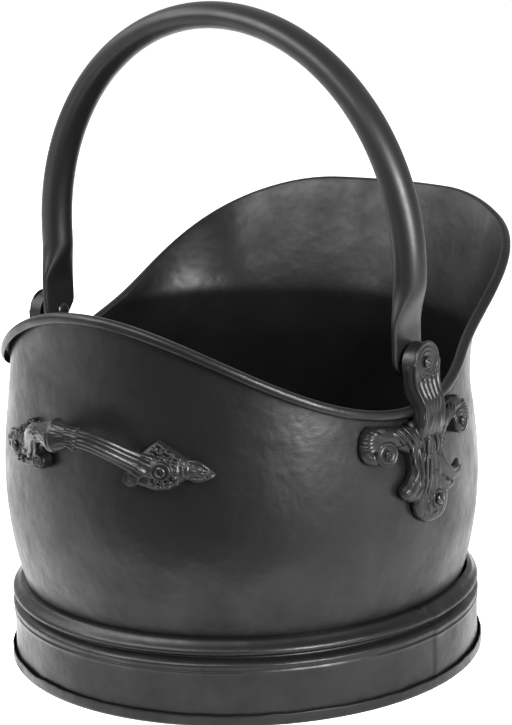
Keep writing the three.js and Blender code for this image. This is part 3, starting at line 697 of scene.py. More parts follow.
# %% Outlines of bent sheet
SOFTEN_ROUNDS = 2
CORNER_SHARE = 0.22


def soften(corners, rounds):
    """Cuts each corner of an outline, again and again, so that it turns into a small round."""
    for _ in range(rounds):
        cut_corners = [corners[0]]
        for (r0, h0), (r1, h1) in zip(corners, corners[1:]):
            cut_corners.append((mix(r0, r1, CORNER_SHARE), mix(h0, h1, CORNER_SHARE)))
            cut_corners.append((mix(r1, r0, CORNER_SHARE), mix(h1, h0, CORNER_SHARE)))
        corners = [*cut_corners, corners[-1]]
    return corners


def along_outline(outline, share):
    place = share * (len(outline) - 1)
    order = min(int(place), len(outline) - 2)
    (r0, h0), (r1, h1) = outline[order], outline[order + 1]
    return mix(r0, r1, place - order), mix(h0, h1, place - order)


# %% [markdown]
# The plinth is a band swaged into mouldings: a small step, a groove, a ridge, a deep notch and a
# second ridge whose shoulder sweeps in to the barrel. Its two ends lap on the right-hand side, which
# leaves a faint upright step. The lip grips the barrel, but at the right it has sprung away a little
# and has a small nick, as on the real thing.

# %% Plinth
LIP_SPRING = 1.9 * mm
LIP_SPRING_TURN = 121
LIP_SPRING_SPREAD = 13
LAP_STEP = 0.7 * mm
LAP_TURN = 88
LAP_FADE = 8
NICK = 1.8 * mm
NICK_TURN = 85
NICK_SPREAD = 0.9
PLINTH_WALL = 0.95 * mm
PLINTH_WAVE = 0.25 * mm
PLINTH_WAVE_SCALE = 22
LIP_RISE = 7 * mm
EVEN_BELOW = 2 * mm
LAP_FULL = 6 * mm
WAVE_FULL = 10 * mm
GRIP_RADIUS = barrel_radius(PLINTH_TOP) + FIT_GAP
PLINTH_CORNERS = [
    (PLINTH_RADIUS + 1.7 * mm, 1.3 * mm),
    (PLINTH_RADIUS + 1.7 * mm, 2.3 * mm),
    (PLINTH_RADIUS, 2.6 * mm),
    (PLINTH_RADIUS, 34.9 * mm),
    (PLINTH_RADIUS + 0.9 * mm, 36 * mm),
    (PLINTH_RADIUS - 0.2 * mm, 37.6 * mm),
    (PLINTH_RADIUS + 0.9 * mm, 39.2 * mm),
    (PLINTH_RADIUS + 0.9 * mm, 41.6 * mm),
    (PLINTH_RADIUS - 4.3 * mm, 44.8 * mm),
    (PLINTH_RADIUS - 4.3 * mm, 46.2 * mm),
    (PLINTH_RADIUS + 0.9 * mm, 48.4 * mm),
    (PLINTH_RADIUS + 0.4 * mm, 51.2 * mm),
    (PLINTH_RADIUS - 3.0 * mm, 53.6 * mm),
    (PLINTH_RADIUS - 5.3 * mm, 56.4 * mm),
    (GRIP_RADIUS, PLINTH_TOP),
]
plinth_outline = soften(PLINTH_CORNERS, SOFTEN_ROUNDS)


def plinth_place(column, row):
    turn = 360 * column - 180
    radius, height = along_outline(plinth_outline, row)
    near_lip = ease(height, PLINTH_TOP - LIP_RISE, PLINTH_TOP)
    spring = LIP_SPRING * math.exp(-((turn - LIP_SPRING_TURN) / LIP_SPRING_SPREAD) ** 2)
    spring += NICK * math.exp(-((turn - NICK_TURN) / NICK_SPREAD) ** 2)
    wave = PLINTH_WAVE * noise.noise(polar(turn, radius, height) * PLINTH_WAVE_SCALE)
    lapped = LAP_STEP * (1 - ease(turn, LAP_TURN, LAP_TURN + LAP_FADE)) if turn > LAP_TURN else 0
    lapped *= ease(height, EVEN_BELOW, LAP_FULL)
    waved = radius + spring * near_lip + wave * ease(height, EVEN_BELOW, WAVE_FULL)
    return polar(turn, waved + lapped, height)


plinth = wrapped_grid("plinth", 2 * AROUND, len(plinth_outline) - 1, plinth_place)
apply_modifier(plinth, "SOLIDIFY", thickness=PLINTH_WALL, offset=-1, use_even_offset=True)
dress(plinth, "sheet_paint", "bucket", "plinth_ring")

# %% [markdown]
# The base is a disc whose edge is folded up and crimped over the plinth's flange. Crimping is done
# bite by bite, so the fold wanders up and down and in and out.

# %% Base disc
BASE_RADIUS = 165 * mm
BASE_FOLD = 8.6 * mm
FOLD_BITE = 1.1 * mm
FOLD_INSIDE = PLINTH_RADIUS + 2.1 * mm
FOLD_WANDER = 0.5 * mm
FOLD_START = 2 * mm
FOLD_DROP = 0.6
BITE_SCALE = 9
FINE_BITE_SCALE = 21
FINE_BITES = 0.6
WANDER_SCALE = 15
BASE_WALL = 0.9 * mm
BASE_LOW = 0.5 * mm
base_outline = soften([
    (0, BASE_LOW),
    (BASE_RADIUS - 10 * mm, BASE_LOW),
    (BASE_RADIUS - 0.6 * mm, BASE_LOW),
    (BASE_RADIUS - 0.5 * mm, BASE_FOLD * 0.45),
    (BASE_RADIUS - 0.6 * mm, BASE_FOLD - 0.6 * mm),
    (FOLD_INSIDE, BASE_FOLD - 0.4 * mm),
], SOFTEN_ROUNDS)


def base_place(column, row):
    turn = 360 * column - 180
    radius, height = along_outline(base_outline, row)
    around = polar(turn, 1, 0)
    bites = noise.noise(around * BITE_SCALE) + FINE_BITES * noise.noise(around * FINE_BITE_SCALE)
    folded = ease(height, FOLD_START, BASE_FOLD)
    wander = FOLD_WANDER * noise.noise(around * WANDER_SCALE) * folded
    return polar(turn, radius + wander, height + FOLD_BITE * (bites - 1) * folded * FOLD_DROP)


base = wrapped_grid("base", AROUND, len(base_outline) - 1, base_place)
apply_modifier(base, "SOLIDIFY", thickness=BASE_WALL, offset=0, use_even_offset=True)
dress(base, "sheet_paint", "bucket", "base_disc")

# %% [markdown]
# The bail is one steel tube, bent to an arch and hammered flat at both ends, where the pivot pins go
# through. Its section changes along the way: a flat strap, then a round tube, then a crown that the
# bender has squeezed a little wide. The tube leans a little, and the left leg stands a little in.

# %% Line and section of the bail
TUBE_RADIUS = 22 * mm / 2
STRAP_HALF = 5 * mm / 2
STRAP_WIDTH = 30.5 * mm / 2
CROWN_HALF = 18 * mm / 2
CROWN_WIDTH = 24.4 * mm / 2
STRAP_WALL = 1.9 * mm
HALF_SPAN = NECK_RADIUS - 5.5 * mm
ARCH_HALF = HALF_SPAN + 2.1 * mm
STRAP_FULL = PIVOT_HEIGHT + 20 * mm
TUBE_FULL = PIVOT_HEIGHT + 51 * mm
ARCH_SPRING = PIVOT_HEIGHT + 58.5 * mm
ARCH_TOP = PIVOT_HEIGHT + 215.3 * mm
STRAP_TAIL = PIVOT_HEIGHT - 11 * mm
STRAP_CORNER = 0.5
LEG_SHARE = 0.115
TUBE_LEAN = 2 * mm
LEFT_TUCK = 2 * mm
FRONT_CUT = 13 * mm
FRONT_CUT_FROM = PIVOT_HEIGHT + 5 * mm
REAR_CUT = 11 * mm
REAR_CUT_FROM = PIVOT_HEIGHT + 2 * mm
BAIL_AROUND = 64
BAIL_ROWS = 240


def bail_station(row):
    """Middle of the tube and its direction in the arch's plane, from one strap end to the other."""
    side = 1 if row < 0.5 else -1
    share = min(row, 1 - row)
    half = ARCH_HALF - (LEFT_TUCK if side == 1 else 0)
    if share < LEG_SHARE:
        height = mix(STRAP_TAIL, ARCH_SPRING, share / LEG_SHARE)
        across = mix(HALF_SPAN, half, ease(height, STRAP_FULL, ARCH_SPRING))
        return side * across, height, Vector((0, 0, side))
    angle = math.pi / 2 * (share - LEG_SHARE) / (0.5 - LEG_SHARE)
    rise = ARCH_TOP - ARCH_SPRING
    direction = Vector((-half * math.sin(angle), 0, side * rise * math.cos(angle)))
    across = side * half * math.cos(angle)
    return across, ARCH_SPRING + rise * math.sin(angle), direction.normalized()


def cut_share(height, start):
    return min(max((start - height) / (start - STRAP_TAIL), 0), 1)


def bail_section(height):
    tube = ease(height, STRAP_FULL, TUBE_FULL)
    crown = ease(height, ARCH_SPRING, ARCH_TOP)
    thick = mix(mix(STRAP_HALF, TUBE_RADIUS, tube), CROWN_HALF, crown)
    wide = mix(mix(STRAP_WIDTH, TUBE_RADIUS, tube), CROWN_WIDTH, crown)
    front_cut = FRONT_CUT * cut_share(height, FRONT_CUT_FROM)
    rear_cut = REAR_CUT * cut_share(height, REAR_CUT_FROM) ** 2
    return thick, wide - front_cut, wide - rear_cut, mix(1, STRAP_CORNER, 1 - tube)


def bail_place(column, row):
    across, height, direction = bail_station(row)
    thick, front, rear, power = bail_section(height)
    angle = 2 * math.pi * column
    out = thick * squared(math.cos(angle), power)
    reach = (front if math.sin(angle) < 0 else rear) * squared(math.sin(angle), power)
    outward = Vector((direction.z, 0, -direction.x))
    lean = TUBE_LEAN * ease(height, STRAP_FULL, TUBE_FULL)
    return Vector((across, PIVOT_SETBACK - lean + reach, height)) + outward * out


print("bail:", round(2 * HALF_SPAN / mm), "mm between its straps, crown at", round(ARCH_TOP, 4))

# %% [markdown]
# A grid whose columns run round the section makes the tube, and Solidify makes it hollow. The pins'
# axes point outwards on both sides, so one drill fits both straps.

# %% Bail
bail = wrapped_grid("bail_tube", BAIL_AROUND, BAIL_ROWS, bail_place)
apply_modifier(bail, "SOLIDIFY", thickness=STRAP_WALL, offset=-1)


def pivot_place(side):
    turned_out = Matrix.Rotation(side * math.pi / 2, 4, "Y")
    return Matrix.Translation((0, PIVOT_SETBACK, PIVOT_HEIGHT)) @ turned_out


PIN_RADIUS = 3 * mm
strap_inside = HALF_SPAN - STRAP_HALF
strap_outside = HALF_SPAN + STRAP_HALF
for side in SIDE_NAMES:
    low, high = strap_inside - OVERRUN, strap_outside + OVERRUN
    drill(bail, PIN_RADIUS + FIT_GAP, low, high, pivot_place(side))
dress(bail, "tube_paint", "bail", "bail")

# %% [markdown]
# Fasteners are turned pieces: an outline of radius and height led round an axis, each made at its own
# place. Their outlines are short lists: a dome, a rolled eye, a ring, a thread.

# %% Outlines of the fasteners
SLOT_WIDTH = 0.9 * mm
SLOT_DEPTH = 1.0 * mm
HEAD_RADIUS = 3.7 * mm
HEAD_HEIGHT = 2.4 * mm
WASHER_RADIUS = 5 * mm
WASHER_THICKNESS = 0.8 * mm
NUT_HALF = 3.5 * mm
NUT_THICKNESS = 3 * mm
SCREW_TAIL = 2 * mm
THREAD_PITCH = 0.7 * mm
THREAD_DEPTH = 0.3 * mm
RIVET_RADIUS = 2.8 * mm
RIVET_HEIGHT = 1.7 * mm
PIN_HEAD_RADIUS = 5.4 * mm
PIN_HEAD_HEIGHT = 2.4 * mm
PIN_TAIL_RADIUS = 3.9 * mm
PIN_TAIL_HEIGHT = 1.2 * mm
PIVOT_WASHER_RADIUS = 8 * mm
PIVOT_WASHER = 1 * mm
FLAT_DEPTH = BELLY_RADIUS * (1 - math.cos(math.pi / 60))
DOME_STEPS = 8
DOME_EDGE = 0.35
DOME_EDGE_FOOT = 0.2
DOME_POWER = 0.8
RING_EDGE = 0.25
ROUND_STEPS = 48
SLOT_TURN = math.radians(35)
NUT_EDGE = 0.35 * mm
EYE_SHARES = (
    (1, 0.4), (0.94, 0.8), (0.84, 1), (0.7, 0.95), (0.6, 0.5), (0.48, 0.45), (0.4, 0.8), (0.26, 1),
    (0, 1),
)


def turned(name, outline, place):
    def on_axis(column, row):
        radius, height = outline[round(row * (len(outline) - 1))]
        return polar(360 * column, radius, height)

    piece = wrapped_grid(name, ROUND_STEPS, len(outline) - 1, on_axis)
    piece.data.transform(place)
    return piece


def dome(radius, seat, height):
    """Outline of a domed head: a short straight edge, then a round to the middle."""
    outline = [(radius, seat + height * DOME_EDGE * DOME_EDGE_FOOT)]
    for step in range(DOME_STEPS + 1):
        angle = math.pi / 2 * step / DOME_STEPS
        rise = DOME_EDGE + (1 - DOME_EDGE) * math.sin(angle)
        outline.append((radius * math.cos(angle) ** DOME_POWER, seat + height * rise))
    return outline


def eye(radius, seat, height):
    """Outline of a head with a rolled rim, a groove and a dot, like the eye of a scroll."""
    return [(radius * reach, seat + height * rise) for reach, rise in EYE_SHARES]


def flipped(outline, face):
    """The outline mirrored about its face, from the middle outwards."""
    return [(radius, 2 * face - at) for radius, at in reversed(outline)]


def ring(inner, outer, low, high):
    edge = min(high - low, outer - inner) * RING_EDGE
    return [
        (inner, low + edge), (inner + edge, low), (outer - edge, low), (outer, low + edge),
        (outer, high - edge), (outer - edge, high), (inner + edge, high), (inner, high - edge),
        (inner, low + edge),
    ]


def thread(radius, low, high):
    outline = []
    turns = round((high - low) / THREAD_PITCH)
    for turn in range(turns):
        start = mix(low, high, turn / turns)
        outline += [(radius, start), (radius - THREAD_DEPTH, start + THREAD_PITCH / 2)]
    return outline


print("screw head:", len(dome(HEAD_RADIUS, 0, HEAD_HEIGHT)), "points in its outline")

# %% [markdown]
# Behind the wall sit a washer and a nut, or a washer and the rivet's closed tail. Their distances
# are added up outwards to inwards, with a fine gap between neighbours. The screw's slot is cut with a
# thin box, and the rolled thread shows inside the barrel, past the nut.

# %% Screws, rivets, washers and nuts
def behind_wall(turn, height):
    lean = wall_lean(turn, height)
    washer_outer = -SHEET - FIT_GAP - FLAT_DEPTH - WASHER_RADIUS * abs(math.tan(lean))
    washer_inner = washer_outer - WASHER_THICKNESS
    return washer_outer, washer_inner, washer_inner - FIT_GAP


def slotted(piece, top, place):
    blade = added(bpy.ops.mesh.primitive_cube_add, "blade", size=1)
    tilt = Matrix.Rotation(SLOT_TURN, 4, "Z")
    size = Matrix.Diagonal((SLOT_WIDTH, 3 * HEAD_RADIUS, 2 * SLOT_DEPTH, 1))
    blade.data.transform(place @ Matrix.Translation((0, 0, top)) @ tilt @ size)
    cut(piece, blade)


for name, turn, height, seat in fixings:
    place = wall_place(turn, height)
    head_face = seat + FIT_GAP
    washer_outer, washer_inner, tail_face = behind_wall(turn, height)
    kind = name.rsplit("_", 1)[1]
    washer_name = name.replace(kind, "washer")
    washer = turned(
        "plain_" + washer_name,
        ring(SCREW_RADIUS + FIT_GAP, WASHER_RADIUS, washer_inner, washer_outer),
        place,
    )
    dress(washer, "fixing_paint", "bucket", washer_name)
    if kind == "rivet":
        outline = [
            *flipped(dome(RIVET_RADIUS, tail_face, RIVET_HEIGHT), tail_face),
            (RIVET_RADIUS, tail_face), (SCREW_RADIUS, tail_face),
            (SCREW_RADIUS, head_face), (RIVET_RADIUS, head_face),
            *eye(RIVET_RADIUS, head_face, RIVET_HEIGHT),
        ]
        dress(turned("domed_" + name, outline, place), "fixing_paint", "bucket", name)
        continue
    nut_inner = tail_face - NUT_THICKNESS
    screw_end = nut_inner - SCREW_TAIL
    outline = [
        (0, screw_end), (SCREW_RADIUS - THREAD_DEPTH, screw_end),
        *thread(SCREW_RADIUS, screw_end + THREAD_DEPTH, tail_face),
        (SCREW_RADIUS, tail_face), (SCREW_RADIUS, head_face), (HEAD_RADIUS, head_face),
        *dome(HEAD_RADIUS, head_face, HEAD_HEIGHT),
    ]
    screw = turned("slotted_" + name, outline, place)
    slotted(screw, head_face + HEAD_HEIGHT, place)
    dress(screw, "fixing_paint", "bucket", name)
    nut_name = name.replace(kind, "nut")
    corner = NUT_HALF / math.cos(math.pi / 6)
    nut = cylinder("hexagon_" + nut_name, corner, nut_inner, tail_face, place, 6)
    drill(nut, SCREW_RADIUS + FIT_GAP, nut_inner - OVERRUN, tail_face + OVERRUN, place)
    apply_modifier(nut, "BEVEL", width=NUT_EDGE, segments=2, limit_method="ANGLE")
    dress(nut, "fixing_paint", "bucket", nut_name)

# %% [markdown]
# The bail swings on two pins. Each has its domed head inside the bail's strap, a washer between the
# strap and the ear, and a small riveted tail on the outer face of the ear.

# %% Pivot pins and washers
EAR_THICKNESS = 12 * mm
washer_inside = strap_outside + FIT_GAP
EAR_INSIDE = washer_inside + PIVOT_WASHER + FIT_GAP
EAR_OUTSIDE = EAR_INSIDE + EAR_THICKNESS
for side, side_name in SIDE_NAMES.items():
    place = pivot_place(side)
    head_face = strap_inside - FIT_GAP
    tail_face = EAR_OUTSIDE + FIT_GAP
    outline = [
        *flipped(dome(PIN_HEAD_RADIUS, head_face, PIN_HEAD_HEIGHT), head_face),
        (PIN_HEAD_RADIUS, head_face), (PIN_RADIUS, head_face),
        (PIN_RADIUS, tail_face), (PIN_TAIL_RADIUS, tail_face),
        *eye(PIN_TAIL_RADIUS, tail_face, PIN_TAIL_HEIGHT),
    ]
    pin = turned(f"domed_pin_{side_name}", outline, place)
    dress(pin, "fixing_paint", "bucket", f"pivot_pin_{side_name}")
    washer = turned(
        f"plain_pivot_washer_{side_name}",
        ring(PIN_RADIUS + FIT_GAP, PIVOT_WASHER_RADIUS, washer_inside, washer_inside + PIVOT_WASHER),
        place,
    )
    dress(washer, "fixing_paint", "bucket", f"pivot_washer_{side_name}")

# %% [markdown]
# The castings are the jewellery of the bucket: scrolls, ribbed leaves and flutes in the old acanthus
# manner. They are drawn flat first, as the pattern maker carves them: along the wall, up, and out
# from it, in millimetres. A carving is a bundle of tapered round strokes. All the strokes are splines
# of one curve, which becomes one mesh; a voxel remesh melts them together, and a little smoothing
# leaves the soft edges of sand casting. Only then is the piece laid on the round wall.

# %% Carving
CAST_VOXEL = 0.44 * mm
CAST_SOFTENING = 4
CAST_SOFTENING_SHARE = 0.5
CAST_SHARP_FROM = math.radians(50)
STROKE_SIDES = 3
STROKE_STEPS = 7
CURVE_END_SHARES = ((0.5, 0.87), (0.85, 0.5), (0.97, 0.2))


def round_ended(points):
    """Adds a few narrowing points past both ends, so that a stroke ends round and not square."""
    points = [(Vector(point[:3]), point[3]) for point in points]
    for _ in range(2):
        points.reverse()
        (before, _), (end, radius) = points[-2:]
        way = (end - before).normalized()
        points += [(end + way * radius * far, radius * slim) for far, slim in CURVE_END_SHARES]
    return points


def carve(name, strokes):
    """Strokes of (along, height, out, radius) points in millimetres, as one mesh."""
    curve = bpy.data.curves.new(name, "CURVE")
    curve.dimensions = "3D"
    curve.bevel_depth = 1
    curve.bevel_resolution = STROKE_SIDES
    curve.resolution_u = STROKE_STEPS
    curve.use_fill_caps = True
    for stroke in strokes:
        points = round_ended(stroke)
        spline = curve.splines.new("BEZIER")
        spline.bezier_points.add(len(points) - 1)
        for knot, (place, radius) in zip(spline.bezier_points, points):
            knot.co = Vector((place.x, -place.z, place.y)) * mm
            knot.radius = radius * mm
            knot.handle_left_type = knot.handle_right_type = "AUTO"
    only(linked(name, curve))
    bpy.ops.object.convert(target="MESH")
    return bpy.context.object


def melt(piece):
    apply_modifier(piece, "REMESH", mode="VOXEL", voxel_size=CAST_VOXEL)
    apply_modifier(piece, "SMOOTH", factor=CAST_SOFTENING_SHARE, iterations=CAST_SOFTENING)


# %% [markdown]
# Bosses and rings are turned forms, so they are primitives laid in the flat drawing, facing out. A
# set of strokes can be narrowed or mirrored, and a fan of them makes a leaf.

# %% Bosses, rings and leaves
BOSS_SIDES = 64
WIRE_SIDES = 12
FAN_SPREAD = 0.5
FAN_STATIONS = (0, 0.5, 0.86, 1, 1)
FAN_RIB = ((7.8, 0.9), (8.6, 1.25), (7.6, 1.45), (4.6, 1.6), (1, 1.6))
FAN_WEB = ((3, 3.8), (3, 3.8), (2.4, 3.4))


def flat_disc(name, along, height, radius, low, high, bevel):
    facing = Matrix.Translation((along * mm, 0, height * mm)) @ Matrix.Rotation(math.pi / 2, 4, "X")
    piece = cylinder(name, radius * mm, low * mm, high * mm, facing, BOSS_SIDES)
    apply_modifier(piece, "BEVEL", width=bevel * mm, segments=4, limit_method="ANGLE")
    return piece


def flat_ring(name, along, height, out, radius, wire):
    piece = added(
        bpy.ops.mesh.primitive_torus_add, name, major_radius=radius * mm, minor_radius=wire * mm,
        major_segments=BOSS_SIDES, minor_segments=WIRE_SIDES,
    )
    facing = Matrix.Rotation(math.pi / 2, 4, "X")
    piece.data.transform(Matrix.Translation((along * mm, -out * mm, height * mm)) @ facing)
    return piece


def spread(strokes, way):
    """The strokes with their distance along the wall times a number; -1 mirrors them."""
    return [[(way * along, *rest) for along, *rest in stroke] for stroke in strokes]


def fan(root, tips):
    """Ribs that spread from one root, like the fingers of a leaf, and bend down over its edge."""
    ribs = []
    for tip in tips:
        start = (root[0], mix(root[1], tip[1], FAN_SPREAD))
        stations = [
            tuple(mix(low, high, share) for low, high in zip(start, tip)) for share in FAN_STATIONS
        ]
        for section in (FAN_RIB, FAN_WEB):
            ribs.append([(*place, *shape) for place, shape in zip(stations, section)])
    return ribs


# %% [markdown]
# The side bracket: an ear with rings round the pivot, an S-bend over the rim with four flutes, a
# cross of two scrolled arms with leaf fans, and a stem whose flutes run down into curls and a foot.
# The numbers are read off the carving's drawing: each row is a point of a stroke.

# %% Neck and arm strokes
neck_sides = [
    [(10.6, 222, 5.6, 4.6), (9.8, 212, 6.0, 4.6), (8.6, 204, 8.8, 4.6), (7.4, 197, 12, 4.8),
     (7, 190, 12.4, 4.8), (7.4, 184, 9, 5), (8.4, 176, 4.2, 5.2)],
    [(10.4, 222, 3.2, 4.6), (9.6, 212, 3.2, 4.6), (8.6, 204, 4.4, 4.6), (7.4, 198, 8, 4.6),
     (7, 190, 8.4, 5), (8, 182, 5, 5)],
]
neck_edge = [
    (13.4, 225, 10.2, 1.2), (13.2, 217, 9.8, 1.3), (12.2, 210, 10.6, 1.4), (10.8, 203, 13.2, 1.4),
    (9.6, 196, 16.2, 1.4), (9.2, 190, 16.4, 1.4), (9.4, 184.6, 13, 1.6),
]
neck_body = []
for way in (-1, -0.5, 0, 0.5, 1):
    neck_body += spread(neck_sides, way)
neck_flutes = [
    [(along, 219 - abs(along) * 0.3, 10.0, 0.6), (along * 1.04, 212, 10.5, 1.3),
     (along * 0.92, 204, 13.3, 1.5), (along * 0.78, 198, 16.2, 1.2), (along * 0.7, 194.4, 17, 0.6)]
    for along in (-6.9, -2.4, 2.4, 6.9)
]
neck_borders = [*spread([neck_edge], -1), *spread([neck_edge], 1)]
waist_folds = [
    [(along, 193, 15.4, 1.6), (along * 1.1, 189, 16, 2), (along * 1.3, 184.6, 13.2, 2.2),
     (along * 1.4, 181, 10.2, 1.8)]
    for along in (-4, 3.4)
]
arm_body = [
    [(0, 180, 3.8, 7), (12, 180, 4, 6.4), (22, 180.6, 3.6, 5.8), (31, 182, 3.6, 6),
     (39, 183.4, 3.6, 5.6)],
    [(4, 176, 3.2, 7), (14, 176.6, 3.4, 5.6), (22, 177.6, 3, 4.8), (30, 178.6, 3.6, 5),
     (38, 179, 4, 5)],
    [(12, 172, 3, 5), (17.6, 172.4, 3, 4.2), (22.6, 174.6, 3, 3.6)],
]
arm_flutes = [
    [(30.6, 184.6, 8.6, 0.7), (28, 182, 9.4, 1.3), (24.8, 178.4, 9, 1.4), (22.6, 175.4, 7.4, 1.0)],
    [(27.2, 186, 8.6, 0.7), (24.4, 182.8, 9.8, 1.3), (21, 178.4, 9.8, 1.5), (18, 173.6, 8.4, 1.2)],
    [(23, 186.4, 8.6, 0.7), (20.2, 183, 10.2, 1.3), (16.6, 178.4, 10.4, 1.5), (13.6, 172.6, 9, 1.2)],
    [(18.6, 184.2, 9.2, 0.8), (15.4, 180.4, 10.8, 1.3), (12.6, 176, 10.8, 1.3), (11, 172, 9.4, 0.9)],
]
arm_leaf = [
    [(38, 184.2, 4.6, 3), (34, 185.2, 6, 2.2), (30.6, 184.6, 7, 1.6)],
    [(44, 185.2, 5, 2.8), (40.4, 187.2, 5.6, 2.2), (36.6, 187, 6.6, 1.5)],
    [(27, 184.2, 5, 2.4), (22, 184.6, 5.8, 1.8), (17.6, 184.2, 7, 1.3)],
    [(50.4, 177.6, 2.8, 4), (49, 172.4, 2.8, 4.6), (44.8, 169.8, 2.8, 5.2), (39.6, 169.6, 2.6, 5)],
]
FAN_ROOT = (39.6, 180.8)
fan_tips = [(46.4, 187.4), (49.4, 185.8), (51, 183.4), (51.8, 180.8), (51.8, 178), (50.8, 175.2)]
print("neck and arm:", len(neck_body + neck_flutes + arm_body + arm_flutes + arm_leaf), "strokes")

# %% [markdown]
# The stem is two layers of plain strokes side by side, narrower towards the foot. Curls leave it on
# both sides, and thin flutes run down over it into them.

# %% Stem strokes
stem_body = []
for share in (0, 0.25, 0.5, 0.75, 1):
    stem_body.append([
        (mix(12.4, -9, share), 180, 4.8, 4.8), (mix(13.4, -8.4, share), 170, 4.8, 4.6),
        (mix(12.6, -7, share), 160, 4.6, 4.4), (mix(10.4, -6.6, share), 150, 4.4, 4.2),
        (mix(8.6, -6, share), 140, 4, 4), (mix(7.4, -7, share), 132, 3.4, 4),
    ])
    stem_body.append([
        (mix(12.4, -9, share), 180, 1.4, 4.8), (mix(13.4, -8.4, share), 168, 1.4, 4.6),
        (mix(11.6, -7, share), 155, 1.2, 4.4), (mix(8.6, -6, share), 140, 1, 4),
    ])
stem_curls = [
    [(11.6, 160, 3.6, 4.8), (13.6, 152.4, 3.8, 5), (17, 146.8, 4, 5.6), (20, 144, 4, 6),
     (20.8, 143.6, 4, 6)],
    [(11, 144, 3.6, 5), (15, 141, 3.6, 5), (18, 140.4, 3.4, 4.6)],
    [(-5, 168, 3.6, 5), (-10.6, 158, 3.6, 5), (-16, 151, 3.6, 4.8), (-21.4, 147.4, 3.8, 4.4),
     (-26.4, 146.4, 4.2, 4), (-30.4, 148.6, 4.4, 3), (-32.4, 152.4, 4.6, 1.4)],
    [(-5, 164, 3.2, 6), (-12, 154.6, 3.2, 6.4), (-18, 149, 3.2, 6), (-24, 146.2, 3.6, 5.2),
     (-28, 146.4, 4.4, 4)],
    [(-4, 152, 3.6, 5), (-8.6, 145.6, 3.6, 4.6), (-13.6, 141.6, 3.6, 4.2), (-18.6, 139.8, 3.8, 3.4),
     (-23, 139.6, 4.2, 2.8), (-26, 141.6, 4.4, 1.3)],
    [(-4, 150, 3.2, 5.4), (-10, 144, 3.2, 5.6), (-15.6, 140, 3.4, 4.8), (-19.6, 139.4, 3.8, 3.6)],
]
stem_flutes = [
    [(15.6, 174, 8, 1.5), (16.4, 169.6, 8.2, 1.9), (15.4, 165.6, 8.2, 1.4), (15.4, 161.8, 8.2, 1.8),
     (13.8, 157.6, 8.4, 1.3), (14.4, 153.8, 8.4, 1.6), (17.2, 150.6, 8.4, 1.2)],
    [(11.4, 170, 9.2, 0.8), (11.6, 164, 9.6, 1.3), (10.6, 157, 9.4, 1.4), (11, 150.6, 8.8, 1.4),
     (13.2, 146.2, 8.2, 1)],
    [(4.6, 168, 10, 0.8), (6.4, 161, 9.9, 1.4), (7, 153, 9.4, 1.5), (7.6, 146, 8.6, 1.4),
     (9.4, 140.2, 7.6, 1)],
    [(1.4, 166, 9.8, 0.8), (2.6, 158, 9.7, 1.3), (3.4, 150, 9, 1.5), (4.8, 142.6, 8, 1.4),
     (7, 136.6, 7.2, 1)],
    [(0.6, 152, 8.8, 0.7), (1.2, 146, 8.3, 1.2), (2.2, 140, 7.6, 1.2), (4.2, 133, 6.8, 0.9)],
    [(-8.8, 168, 9, 0.8), (-12, 160, 8.8, 1.3), (-16.8, 153, 8.6, 1.3), (-22, 149.6, 8.2, 1.2),
     (-27, 149.2, 8, 0.9)],
    [(-3.4, 153, 8.6, 0.7), (-7.4, 148, 8.4, 1.1), (-12.6, 143.8, 8, 1.1), (-18, 142.2, 7.4, 0.8)],
    [(-26, 143.2, 6.8, 0.8), (-30.6, 144.6, 6.6, 1), (-33.4, 148.6, 6.2, 0.9)],
]
print("stem:", len(stem_body + stem_curls + stem_flutes), "strokes")

# %% [markdown]
# Last come the small things: petals where the arms cross, beads in the corners, and the lobes round
# the foot's boss.

# %% Petal, bead and foot strokes
petals = [
    [(2.6, 177.6, 11.2, 0.7), (4.8, 173, 11, 1.2), (5.4, 167.6, 10.4, 1.1), (3.4, 163, 9.8, 0.7)],
    [(2.2, 177.6, 11.2, 0.7), (-0.4, 173.4, 11.2, 1.2), (-0.8, 168, 10.6, 1.1), (1.2, 163, 9.8, 0.7)],
    [(2.2, 174.4, 10.4, 1.4), (2.2, 168, 10, 1.7)],
    [(-4.2, 178.6, 10.8, 1.2), (-4.6, 172, 10.8, 1.7), (-4.4, 166.4, 9.6, 1.1)],
    [(-8, 178, 10.2, 1), (-8.6, 172.6, 10, 1.4), (-8, 167.6, 8.8, 0.9)],
    [(9.4, 178, 9.8, 1.4), (8.6, 173.6, 10.2, 1.5), (8.8, 168.4, 9.6, 1)],
]
beads = [
    [(15.6, 187.2, 8, 2.4), (16, 186.8, 8.2, 2.3)],
    [(8.4, 181.6, 10.6, 1.9), (8.6, 181, 10.6, 1.9)],
    [(-12.2, 171.2, 8.6, 1.6), (-12.4, 170.8, 8.6, 1.6)],
    [(-14.8, 186.8, 8, 2.2), (-15.2, 186.4, 8, 2.1)],
]
foot_lobes = [
    [(10.6, 138, 3.4, 4.6), (11, 132.6, 3.2, 4.2), (9.4, 127.4, 3, 3.8)],
    [(7, 125.4, 3, 3.8), (3.2, 122.6, 3, 3.8), (-1, 122, 3, 3.6)],
    [(-3, 122.2, 3, 3.6), (-9, 123.6, 3, 3.6), (-13.4, 127.6, 3, 3.6), (-15, 133.4, 3, 3.4)],
    [(4.6, 134, 7.2, 0.9), (4, 130, 7.2, 1), (1.6, 126.6, 6.6, 0.8)],
    [(8.4, 135, 6.8, 0.8), (8.4, 131, 6.6, 0.9), (6.2, 127, 6, 0.8)],
    [(-12.4, 138.4, 4.6, 2.4), (-14.4, 135.4, 4.6, 2.4)],
    [(-12.6, 129.8, 4.6, 2.2), (-9.4, 126.4, 4.8, 2.2)],
    [(-4.6, 124.6, 5, 2), (-1, 124.2, 5, 1.9)],
    [(2.6, 139.6, 6.6, 1.6), (1.6, 136, 7, 1.4)],
]
print("petals, beads and foot:", len(petals + beads + foot_lobes), "strokes")

